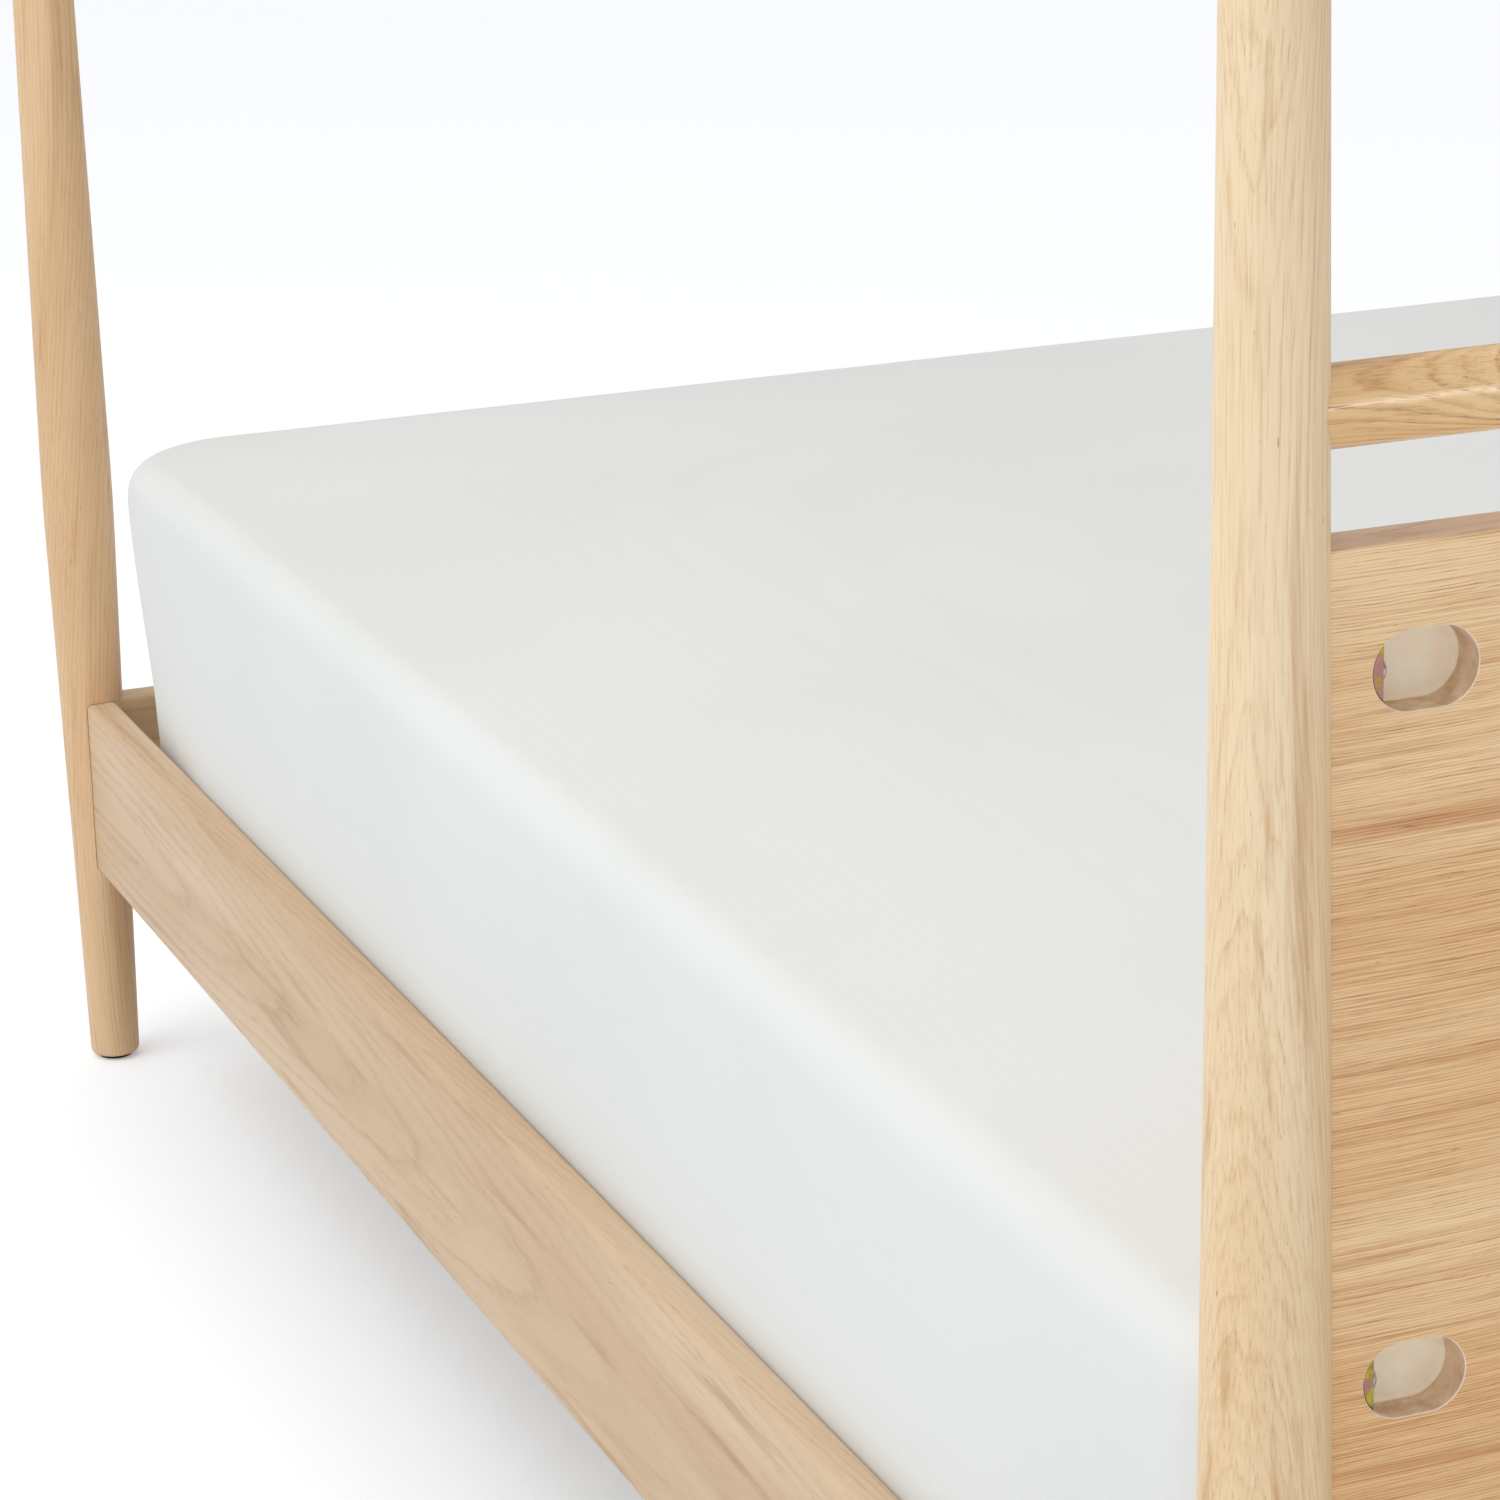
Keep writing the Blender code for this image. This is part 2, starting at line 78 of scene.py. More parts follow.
# Bolt pockets, from the post's axis along the board, and from the board's face inwards.
POCKET_NEAR = 0.0404
POCKET_FAR = 0.0895
POCKET_R = 0.0172
POCKET_DEPTH = 0.018
POCKET_LEDGE = 0.0173
POCKET_LIP = 0.0005
BOLT_DEPTH = 0.009
BOLT_R = 0.004
BOLT_HEAD_R = 0.0062
BOLT_HEAD_H = 0.0042
BOLT_DOME = 70
BOLT_SHANK = 0.010
SOCKET_R = 0.0023
SOCKET_FLOOR = 0.0008
WASHER_SAGITTA = 0.0055
WASHER_BACK = 0.001
WASHER_BROKEN = 0.0004

# Hidden hardware, as the part has it. FIT is the room between two pieces that meet.
FIT = 0.0003
BRACKET_WALL = 0.0025
SCREW_HEAD_R = 0.0042
SCREW_HEAD_H = 0.0016
LEG_FOOT_R = 0.0160
LEG_TOP_R = 0.0210
LEG_ROUND = 0.002
LEG_HOLE_R = 0.0043
LEG_HOLE_TOP = 0.085
PAD_R = 0.0180
NUT_R = 0.0075
NUT_LOW = 0.0059
NUT_HIGH = 0.0110
THREAD_CORE_R = 0.0034
THREAD_R = 0.0040
THREAD_PITCH = 0.00125
GLIDE_R = 0.0140

# Where the tree's pith lay: degrees round each post and its distance, and metres from each board or rail.
# A bow is the size, length and peak of the tree's own crookedness.
PITH_TURN = {("head", "right"): 38, ("foot", "right"): 170, ("head", "left"): 140, ("foot", "left"): 285}
PITH_FROM_POST = 0.105
POST_BOW = (0.030, 1.60, 0.15)
PITH_BEHIND_RAIL = 0.085
SIDE_RAIL_PITH_Z = 0.235
END_RAIL_PITH_Z = 0.26
RAIL_BOW = (0.034, 4.30, 1.07)
RAIL_BOW_RISE = 0.25
PITH_BEHIND_PANEL = 0.02
PITH_OVER_PANEL = 0.22
PITH_BY_TOP_RAIL = 0.045
TOP_RAIL_BOW = ((0.70, 0.70), 0.016, 0.42, 0.56)
PITH_BY_CANOPY = 0.05
PANEL_BOW = ((0.0, 1.0), 0.010, 1.10, 0.78)
GRAIN_SECTIONS = 36

# Studio. Each light: place, target, size, watts and colour.
LIGHTS = {
    "key": ((3.9, 0.2, 4.6), (0.3, 0.2, 0.5), (4.0, 4.0), 90, (0.97, 0.99, 1.0)),
    "strip": ((-1.7, 5.5, 1.75), (0.74, 1.05, 0.98), (3.0, 0.50), 84, (1.0, 0.95, 0.94)),
    "fill": ((1.2, 9.0, 1.6), (0.6, 0.8, 0.7), (3.0, 2.6), 64, (1.0, 0.99, 0.98)),
}
GROUND_GLOW = 0.25
GROUND_HALF = 30.0
SKY_SEEN = 0.98
SKY_TOWARDS = (0.25, -0.15, 1.0)
SKY_LIGHT = {"From Min": -0.3, "From Max": 1.0, "To Min": 0.18, "To Max": 0.94}

# Camera: its place, its lens in millimetres, and its turn, tilt and roll in radians.
CAMERA_PLACE = (1.6401, 2.6738, 1.4038)
CAMERA_LENS = 113.0
CAMERA_TURN = (0.3699, 0.2948, 0.0267)

# Mattress and sheet. The cover stands proud of its CAD node by COVER_LOW and COVER_HIGH, its corners draw
# in by CORNER_TUCK at the bottom, and the sheet reaches SHEET_TUCK in under the mattress.
CROWN = 0.006
PLAN_CORNER = 0.100
EDGE_ROUND = 0.025
CORNER_REACH = 0.32
CORNER_TUCK = 0.020
SIDE_TUCK = 0.004
TUCK_FADE = 0.17
RAIL_GAP = 0.0012
COVER_LOW = Vector((0.0100, 0.0060, -0.0040))
COVER_HIGH = Vector((0.0100, 0.0060, 0.0020))
CLOTH_GRID = 0.020
GRID_CROWD = 0.62
SIM_FRAMES = 20
SIM_CAP = 0.006
CLOTH = {"quality": 4, "mass": 0.3, "tension_stiffness": 40, "compression_stiffness": 10,
         "shear_stiffness": 10, "bending_stiffness": 4, "use_pressure": True, "uniform_pressure_force": 4.0}
UNDER_HELD = (0.01, 0.08)
SHEET_OFF = 0.0022
SHEET_T = 0.0006
SHEET_TUCK = 0.125
HEM_OFF = 0.0015
HEM_WAVE = 0.0009


def middle(name):
    """The middle of a CAD node's box."""
    low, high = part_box(name)
    return (low + high) / 2


POST_X = middle("glide_foot_right").x
POST_Y = middle("glide_head_right").y
ENDS = {"foot": -1, "head": 1}
SIDES = {"left": -1, "right": 1}


# ---- node materials ----


class Nodes:
    """Short ways to add nodes to a tree. Inputs are numbers, tuples or other nodes' outputs."""

    def __init__(self, tree):
        self.tree = tree

    def node(self, kind, inputs=(), output=0, **settings):
        made = self.tree.nodes.new(kind)
        for key, value in settings.items():
            setattr(made, key, value)
        for key, value in dict(inputs).items():
            if isinstance(value, bpy.types.NodeSocket):
                self.tree.links.new(value, made.inputs[key])
            else:
                made.inputs[key].default_value = value
        return made.outputs[output]

    def coordinates(self):
        return self.node("ShaderNodeAttribute", output="Vector", attribute_name="grain")

    def stretched(self, vector, scale):
        return self.node("ShaderNodeVectorMath", {0: vector, 1: scale}, operation="MULTIPLY")

    def noise(self, vector, scale, detail=2.0, roughness=0.5):
        """Noise from 0 to 1, with scale as features per metre along each of vector's axes."""
        place = self.stretched(vector, scale)
        inputs = {"Vector": place, "Scale": 1.0, "Detail": detail, "Roughness": roughness}
        return self.node("ShaderNodeTexNoise", inputs)

    def maths(self, operation, a, b=0.0, c=0.0):
        return self.node("ShaderNodeMath", {0: a, 1: b, 2: c}, operation=operation)

    def between(self, value, start, end, low=0.0, high=1.0):
        """Smoothly from low to high as value goes from start to end."""
        inputs = {"Value": value, "From Min": start, "From Max": end, "To Min": low, "To Max": high}
        return self.node("ShaderNodeMapRange", inputs, interpolation_type="SMOOTHSTEP")

    def mix(self, factor, a, b, blend="MIX"):
        inputs = {0: factor, 6: a, 7: b}
        return self.node("ShaderNodeMix", inputs, output=2, data_type="RGBA", blend_type=blend)

    def ramp(self, value, stops):
        made = self.tree.nodes.new("ShaderNodeValToRGB")
        self.tree.links.new(value, made.inputs[0])
        points = made.color_ramp.elements
        while len(points) < len(stops):
            points.new(0.5)
        for point, (place, colour) in zip(points, stops):
            point.position = place
            point.color = (*colour, 1.0)
        return made.outputs[0]


class Shader(Nodes):
    """A material, with what its surface takes from its nodes."""

    def __init__(self, name, roughness, metallic=0.0, **constants):
        self.material = bpy.data.materials.new(name)
        self.material.use_nodes = True
        super().__init__(self.material.node_tree)
        self.surface = self.tree.nodes["Principled BSDF"]
        self.surface.inputs["Roughness"].default_value = roughness
        self.surface.inputs["Metallic"].default_value = metallic
        for socket, value in constants.items():
            self.surface.inputs[socket.replace("_", " ")].default_value = value

    def colour(self, value):
        self.tree.links.new(value, self.surface.inputs["Base Color"])

    def roughness(self, value):
        self.tree.links.new(value, self.surface.inputs["Roughness"])

    def bump(self, height, distance, strength=1.0):
        inputs = {"Height": height, "Distance": distance, "Strength": strength}
        self.tree.links.new(self.node("ShaderNodeBump", inputs), self.surface.inputs["Normal"])


def rgb(red, green, blue):
    """A linear colour, opaque, from one given as 0 to 255 on a screen."""
    def linear(value):
        value /= 255
        return value / 12.92 if value < 0.04045 else ((value + 0.055) / 1.055) ** 2.4
    return (linear(red), linear(green), linear(blue), 1.0)


def wood(name, tones, ring, lines, fibres, rough, ragged=4.0, stave=None):
    """Ring-porous wood: growth rings round the pith, some strong and some weak, fibre and fine long pores.

    ring is a year's width, lines and fibres are how strongly rings and fibre show, stave is the height of
    each glued board, and ragged is how rough the rings' outlines are.
    """
    pale, deep, streak, pore = (rgb(*tone) for tone in tones)
    s = Shader(f"{name}_finish", rough)
    place = s.coordinates()
    if stave:
        # A board glued up from staves: each is cut from another part of the tree.
        height = s.node("ShaderNodeSeparateXYZ", {0: place}, output="Z")
        number = s.maths("FLOOR", s.maths("DIVIDE", height, stave))
        random = s.node("ShaderNodeTexWhiteNoise", {"W": number}, output="Color", noise_dimensions="1D")
        shade = s.node("ShaderNodeTexWhiteNoise", {"W": number}, noise_dimensions="1D")
        shift = s.stretched(random, (3.0, 0.03, 0.05))
        place = s.node("ShaderNodeVectorMath", {0: place, 1: shift}, operation="ADD")
    across = s.stretched(place, (0.0, 1.0, 1.0))
    radius = s.node("ShaderNodeVectorMath", {0: across}, output="Value", operation="LENGTH")
    wander = s.maths("MULTIPLY", s.noise(place, (1.1, 5.0, 5.0), 2.0), 0.022)
    waver = s.maths("MULTIPLY", s.noise(place, (16.0, 90.0, 90.0), ragged, 0.62), 0.0042)
    rings = s.maths("DIVIDE", s.maths("ADD", s.maths("ADD", radius, wander), waver), ring)
    year = s.node("ShaderNodeTexWhiteNoise", {"W": s.maths("FLOOR", rings)}, noise_dimensions="1D")
    strength = s.between(year, 0.0, 1.0, 0.30, 1.0)
    phase = s.maths("FRACT", rings)
    early = s.ramp(phase, [(0.0, (0.6,) * 3), (0.07, (1.0,) * 3), (0.22, (0.34,) * 3), (0.42, (0.0,) * 3),
                           (0.94, (0.0,) * 3), (1.0, (0.6,) * 3)])
    late = s.ramp(phase, [(0.30, (0.0,) * 3), (0.62, (1.0,) * 3), (0.90, (0.6,) * 3), (0.96, (0.0,) * 3)])
    early = s.maths("MULTIPLY", early, strength)
    tone = s.noise(place, (1.3, 16.0, 16.0), 3.0)
    if stave:
        tone = s.maths("ADD", tone, s.maths("MULTIPLY", s.maths("SUBTRACT", shade, 0.5), 0.06))
    base = s.mix(s.between(tone, 0.32, 0.68), pale, deep)
    warm = s.between(s.noise(place, (3.0, 90.0, 90.0), 3.0, 0.6), 0.52, 0.76, 0.0, 0.75)
    base = s.mix(warm, base, streak)
    base = s.mix(s.maths("MULTIPLY", early, lines), base, streak)
    base = s.mix(s.maths("MULTIPLY", late, 0.45 * lines), base, pale)
    fibre = s.noise(place, (11.0, 900.0, 900.0), 3.0, 0.62)
    base = s.mix(s.between(fibre, 0.50, 0.72, 0.0, fibres), base, streak)
    base = s.mix(s.between(fibre, 0.50, 0.28, 0.0, fibres), base, pale)
    pores = s.between(s.noise(place, (48.0, 1500.0, 1500.0), 1.0), 0.52, 0.68)
    pores = s.maths("MULTIPLY", pores, s.maths("MULTIPLY_ADD", early, 0.80, 0.20))
    base = s.mix(s.maths("MULTIPLY", pores, 1.1 * lines), base, pore)
    fleck = s.between(s.noise(place, (110.0, 700.0, 700.0), 1.0), 0.76, 0.82, 0.0, 0.55)
    s.colour(s.mix(fleck, base, pore))
    s.roughness(s.between(s.maths("ADD", pores, fibre), 0.3, 1.4, rough - 0.05, rough + 0.12))
    s.bump(s.maths("SUBTRACT", s.maths("MULTIPLY", fibre, 0.4), pores), 0.00012, 0.5)
    return s.material


def cut_wood(name, light, dark):
    """Bare wood in a pocket: scorched a little by the cutter, with faint tool marks."""
    s = Shader(name, 0.75)
    place = s.coordinates()
    smudge = s.noise(place, (70.0, 70.0, 70.0), 3.0, 0.6)
    marks = s.noise(place, (300.0, 300.0, 2500.0), 2.0)
    colour = s.mix(s.between(smudge, 0.32, 0.70), light, dark)
    s.colour(s.mix(s.between(marks, 0.45, 0.75, 0.0, 0.25), colour, dark))
    s.bump(s.maths("ADD", smudge, marks), 0.0003, 0.4)
    return s.material


def yellow_zinc():
    """Passivated zinc: yellow that shifts to green and pink in patches, over fine scratches."""
    s = Shader("zinc_finish", 0.30, 1.0)
    place = s.coordinates()
    film = s.noise(place, (95.0, 95.0, 95.0), 2.0, 0.55)
    bands = [(0.30, (0.20, 0.24, 0.07)), (0.42, (0.50, 0.40, 0.06)), (0.47, (0.42, 0.28, 0.08)),
             (0.53, (0.44, 0.22, 0.19)), (0.62, (0.40, 0.21, 0.17)), (0.72, (0.22, 0.25, 0.10))]
    s.colour(s.ramp(film, bands))
    scratch = s.noise(place, (350.0, 2600.0, 2600.0), 2.0)
    s.roughness(s.between(scratch, 0.3, 0.8, 0.22, 0.42))
    s.bump(scratch, 0.00003, 0.5)
    return s.material


def metal(name, colour, dark, roughness):
    s = Shader(name, roughness, 1.0)
    place = s.coordinates()
    worn = s.noise(place, (140.0, 140.0, 140.0), 3.0, 0.6)
    s.colour(s.mix(s.between(worn, 0.35, 0.70), colour, dark))
    s.roughness(s.between(worn, 0.3, 0.8, roughness - 0.06, roughness + 0.10))
    s.bump(s.noise(place, (900.0, 900.0, 900.0), 2.0), 0.00003, 0.5)
    return s.material


def moulded(name, colour, light):
    """Moulded nylon with a fine spark-eroded texture, scuffed in places."""
    s = Shader(name, 0.55)
    place = s.coordinates()
    grain = s.noise(place, (2200.0, 2200.0, 2200.0), 1.0)
    scuff = s.between(s.noise(place, (90.0, 90.0, 90.0), 3.0), 0.55, 0.80, 0.0, 0.5)
    s.colour(s.mix(scuff, colour, light))
    s.bump(grain, 0.00008, 0.5)
    return s.material


def woven(name, colour, shade, thread, depth, sheen):
    """Plain weave: two sets of threads that cross, with slubs, over slow changes of tone."""
    s = Shader(name, 0.88, Sheen_Weight=sheen, Sheen_Roughness=0.5, Specular_IOR_Level=0.25)
    place = s.coordinates()
    turns = 2 * math.pi / thread
    split = s.node("ShaderNodeSeparateXYZ", {0: place}).node
    sines = [s.maths("SINE", s.maths("MULTIPLY", split.outputs[axis], turns)) for axis in range(3)]
    weave = s.maths("MULTIPLY", sines[0], s.maths("MULTIPLY", sines[1], sines[2]))
    weave = s.maths("ADD", weave, s.maths("MULTIPLY", sines[0], sines[1]))
    slub = s.noise(place, (30.0, 700.0, 700.0), 2.0)
    soft = s.noise(place, (2.2, 2.2, 2.2), 2.0)
    tint = s.mix(s.between(soft, 0.30, 0.70), colour, shade)
    s.colour(s.mix(s.between(slub, 0.45, 0.80, 0.0, 0.10), tint, shade))
    s.bump(s.maths("MULTIPLY_ADD", weave, 0.25, slub), depth, 0.4)
    return s.material


# For wood(): pale, deep, streak and pore tones, ring, lines, fibres, roughness, then ragged and stave.
WOODS = {
    "oak": (((252, 229, 192), (237, 205, 160), (206, 159, 107), (160, 112, 70)),
            0.0024, 0.23, 0.44, 0.50, 1.0),
    "oak_warm": (((241, 208, 166), (224, 185, 140), (202, 153, 104), (156, 108, 66)),
                 0.0034, 0.30, 0.30, 0.50, 1.5),
    "oak_glossy": (((255, 224, 172), (238, 194, 136), (186, 124, 72), (128, 78, 40)),
                   0.0030, 0.62, 0.40, 0.31),
    # Darker and greyer than the posts' oak: the rails' own tone, and partly painted shade for their low place
    # beside the mattress.
    "oak_rail": (((226, 198, 164), (211, 179, 141), (188, 150, 110), (150, 112, 76)),
                 0.0060, 0.26, 0.10, 0.48),
    # The faces of rails and panel turned up and down take darker tones: painted shade, over the look of wood
    # seen on its edge.
    "oak_rail_edge_shaded": (((222, 196, 164), (206, 174, 140), (188, 148, 110), (140, 100, 66)),
                      0.0036, 0.30, 0.25, 0.50),
    "oak_panel": (((252, 219, 170), (231, 182, 124), (196, 126, 66), (160, 94, 46)),
                  0.0014, 0.62, 0.62, 0.48, 4.0, 0.106),
    "oak_panel_edge_shaded": (((236, 206, 178), (218, 186, 158), (192, 156, 128), (140, 100, 70)),
                    0.0024, 0.45, 0.35, 0.50),
    "slat_wood": (((228, 208, 172), (214, 188, 148), (196, 158, 110), (170, 128, 84)),
                  0.0040, 0.40, 0.25, 0.62),
}
MATERIALS = {name: wood(name, *values) for name, values in WOODS.items()}
MATERIALS |= {
    # The pocket floor's near white is painted light against the pocket's shade; the rim's pinkish white is pale
    # broken fibre with a painted highlight.
    "pocket_floor_lit": cut_wood("pocket_floor_finish", rgb(255, 249, 230), rgb(254, 238, 212)),
    "pocket_wall": cut_wood("pocket_wall_finish", rgb(240, 214, 184), rgb(206, 172, 138)),
    "pocket_rim_highlight": cut_wood("pocket_rim_finish", rgb(255, 240, 228), rgb(246, 224, 206)),
    "zinc": yellow_zinc(),
    "steel": metal("steel_finish", (0.72, 0.72, 0.73, 1.0), (0.50, 0.50, 0.51, 1.0), 0.20),
    "nylon": moulded("nylon_finish", (0.018, 0.016, 0.015, 1.0), (0.06, 0.055, 0.05, 1.0)),
    "sheet": woven("sheet_finish", rgb(236, 238, 237), rgb(232, 234, 232), 0.0006, 0.00010, 0.15),
    "ticking": woven("ticking_finish", rgb(206, 208, 210), rgb(190, 193, 197), 0.0016, 0.00035, 0.10),
}


# ---- building pieces ----


def mesh_from(bm, name):
    bmesh.ops.recalc_face_normals(bm, faces=bm.faces)
    if bm.calc_volume(signed=True) < 0:
        bmesh.ops.reverse_faces(bm, faces=bm.faces)
    mesh = bpy.data.meshes.new(name)
    bm.to_mesh(mesh)
    bm.free()
    return mesh


def link(name, mesh):
    obj = bpy.data.objects.new(name, mesh)
    bpy.context.scene.collection.objects.link(obj)
    return obj


def cut(obj, cutters):
    """Takes the shapes of cutters, which are bmeshes, out of obj."""
    helpers = [link("helper", mesh_from(bm, "helper")) for bm in cutters]
    for helper in helpers:
        modifier = obj.modifiers.new("cut", "BOOLEAN")
        modifier.operation = "DIFFERENCE"
        modifier.object = helper
    apply_modifiers(obj)
    for helper in helpers:
        bpy.data.objects.remove(helper, do_unlink=True)


def apply_modifiers(obj):
    graph = bpy.context.evaluated_depsgraph_get()
    made = bpy.data.meshes.new_from_object(obj.evaluated_get(graph))
    obj.modifiers.clear()
    obj.data = made


def set_grain(obj, along, pith=(0.0, 0.0), shift=0.0, bow=None):
    """Gives each vertex its place along the grain and across it from the tree's pith, for the materials.

    bow is (direction across, size, length, place of a peak) of the tree's own crookedness, which brings
    the rings out at the surface in arches.
    """
    turn = {"x": (0, 1, 2), "y": (1, 0, 2), "z": (2, 0, 1)}[along]
    places = np.array([v.co for v in obj.data.vertices], float).reshape(-1, 3)[:, turn]
    if bow:
        direction, size, length, peak = bow
        swing = size * np.cos(2 * math.pi * (places[:, :1] - peak) / length)
        places[:, 1:] += swing * np.array(direction)
    places -= (-shift, *pith)
    values = obj.data.attributes.new("grain", "FLOAT_VECTOR", "POINT")
    values.data.foreach_set("vector", places.astype(np.float32).ravel())


def piece(name, shape, finish, cutters=(), along="z", pith=(0.0, 0.0), shift=0.0, bow=None,
          body="bed_frame", stands_for=()):
    """A shown piece from a bmesh, cut, given its grain, finished, and riding on its body."""
    obj = link(name, mesh_from(shape, name))
    obj.data.materials.append(MATERIALS[finish])
    if cutters:
        cut(obj, cutters)
    set_grain(obj, along, pith, shift, bow)
    obj.data.shade_smooth()
    obj.data.set_sharp_from_angle(angle=math.radians(SHARP_FROM))
    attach(obj, body)
    if stands_for:
        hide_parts(*stands_for)
    return obj


def board(low, high, along, rounding, steps, grow=0.0, sections=1):
    """A board between two corners, its long edges rounded, in equal sections along it for a bowed grain."""
    low = Vector(low) - Vector((grow,) * 3)
    high = Vector(high) + Vector((grow,) * 3)
    bm = bmesh.new()
    place = Matrix.Translation((low + high) / 2) @ Matrix.Diagonal((*(high - low), 1.0))
    bmesh.ops.create_cube(bm, size=1.0, matrix=place)
    axis = "xyz".index(along)
    long_edges = [e for e in bm.edges if abs(e.verts[0].co[axis] - e.verts[1].co[axis]) > SEAM]
    bmesh.ops.bevel(bm, geom=long_edges, offset=rounding, segments=steps, profile=0.5, affect="EDGES")
    normal = Vector([float(a == axis) for a in range(3)])
    for section in range(1, sections):
        share = section / sections
        geometry = [*bm.verts, *bm.edges, *bm.faces]
        bmesh.ops.bisect_plane(bm, geom=geometry, plane_co=low.lerp(high, share), plane_no=normal)
    return bm


def lofted(rings, place):
    """A closed body through rings of points, which all have as many points."""
    bm = bmesh.new()
    rings = [[bm.verts.new(point) for point in ring] for ring in rings]
    count = len(rings[0])
    for below, above in zip(rings, rings[1:]):
        for step in range(count):
            after = (step + 1) % count
            bm.faces.new((below[step], below[after], above[after], above[step]))
    bm.faces.new(rings[0][::-1])
    bm.faces.new(rings[-1])
    bm.transform(place)
    return bm


def turned(profile, sides, place):
    """A closed turned body about local Z from (radius, height) pairs, bottom to top."""
    turns = [2 * math.pi * step / sides for step in range(sides)]
    circle = [(math.cos(turn), math.sin(turn)) for turn in turns]
    return lofted([[(radius * x, radius * y, z) for x, y in circle] for radius, z in profile], place)


def stacked(layers, place):
    """A closed body from outlines of (x, z) pairs at depths along local Y: [(y, outline), ...]."""
    return lofted([[(x, y, z) for x, z in outline] for y, outline in layers], place)


def arc(centre_x, radius, start, end, steps):
    """Points (x, z) on a circle about (centre_x, 0), from one angle in degrees to another."""
    points = []
    for step in range(steps + 1):
        angle = math.radians(start + (end - start) * step / steps)
        points.append((centre_x + radius * math.cos(angle), radius * math.sin(angle)))
    return points


def rounded_end(radius, height, rounding, rising, steps=8):
    """(radius, height) pairs of a rounded end: up from an end at height if rising, else up to one."""
    pairs = []
    for step in range(steps + 1):
        angle = math.radians(90 * step / steps)
        inset = rounding * (1 - math.sin(angle))
        lift = rounding * (1 - math.cos(angle))
        pairs.append((radius - inset, height + lift if rising else height - lift))
    return pairs if rising else pairs[::-1]


def lying(axis):
    """Turns local Z to lie along a world axis."""
    return Vector((0, 0, 1)).rotation_difference(Vector(axis)).to_matrix().to_4x4()


def bolt_frame(origin, along, out):
    """Local X along the bolt into the post, local Y out of the pocket's mouth."""
    along, out = Vector(along), Vector(out)
    rotation = Matrix((along, out, along.cross(out))).transposed()
    return Matrix.Translation(origin) @ rotation.to_4x4()


# ---- turned posts and round rails ----


def post_radius(z):
    """Radius at height z: a straight taper up to the belly, then a long hollow taper to the top."""
    lower = POST_FOOT_D + (POST_BELLY_D - POST_FOOT_D) * z / BELLY_Z
    rise = min(max((POST_TOP - z) / (POST_TOP - BELLY_Z), 0.0), 2.0)
    upper = POST_TOP_D + (POST_BELLY_D - POST_TOP_D) * rise**UPPER_TAPER_POWER
    blend = math.exp(-lower / BELLY_SOFTNESS) + math.exp(-upper / BELLY_SOFTNESS)
    return -BELLY_SOFTNESS * math.log(blend) / 2


def post_shape(place, rings=72, sides=96):
    bottom = POST_BOTTOM + FOOT_ROUND
    top = POST_TOP - TOP_ROUND
    pairs = rounded_end(post_radius(bottom), POST_BOTTOM, FOOT_ROUND, True)
    for step in range(1, rings):
        height = bottom + (top - bottom) * step / rings
        pairs.append((post_radius(height), height))
    pairs += rounded_end(post_radius(top), POST_TOP, TOP_ROUND, False)
    return turned(pairs, sides, place)


def round_rail(name, grow=0.0, sides=64):
    """A canopy rail, thickest at its middle, along the longer side of its CAD node's box."""
    low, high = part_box(name)
    size = high - low
    axis = Vector((1, 0, 0)) if size.x > size.y else Vector((0, 1, 0))
    half = max(size.x, size.y) / 2 - CANOPY_SHORT + grow
    pairs = []
    for step in range(41):
        share = step / 20 - 1
        radius = CANOPY_END_R + (CANOPY_MID_R - CANOPY_END_R) * (1 - share**2)
        pairs.append((radius + grow, half * share))
    return turned(pairs, sides, Matrix.Translation((low + high) / 2) @ lying(axis))


def top_rail(grow=0.0, sides=64):
    low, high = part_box("headboard_top_rail")
    half = (high.x - low.x) / 2 - TOP_RAIL_SHORT + grow
    pairs = [(TOP_RAIL_R + grow, half * (step / 60 - 1)) for step in range(121)]
    return turned(pairs, sides, Matrix.Translation((low + high) / 2) @ lying((1, 0, 0)))


def rail_board(name, grow=0.0, sections=1):
    low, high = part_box(name)
    along = "x" if high.x - low.x > high.y - low.y else "y"
    return board(low, high, along, RAIL_ROUND + grow, 6, grow, sections)


def panel_board(grow=0.0, sections=1):
    return board(*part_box("headboard_panel"), "x", PANEL_ROUND + grow, 5, grow, sections)


def make_posts():
    for end_name, end in ENDS.items():
        for side_name, side in SIDES.items():
            place = Matrix.Translation((side * POST_X, end * POST_Y, 0))
            cutters = [rail_board(f"side_rail_{side_name}", SEAM), rail_board(f"{end_name}_rail", SEAM)]
            cutters += [round_rail(f"canopy_rail_{where}", SEAM) for where in (side_name, end_name)]
            if end_name == "head":
                cutters += [panel_board(SEAM), top_rail(SEAM)]
            # Each blank is sawn from another place in the tree, its pith outside the post.
            turn = math.radians(PITH_TURN[end_name, side_name])
            away = (math.cos(turn), math.sin(turn))
            pith = (side * POST_X - PITH_FROM_POST * away[0], end * POST_Y - PITH_FROM_POST * away[1])
            shift = 7.3 + 2.1 * side + 4.7 * end
            name = f"{end_name}_post_{side_name}"
            finish = "oak_warm" if end_name == "foot" else "oak"
            piece(f"oak_{name}", post_shape(place), finish, cutters, "z", pith, shift, (away, *POST_BOW),
                  stands_for=[name])


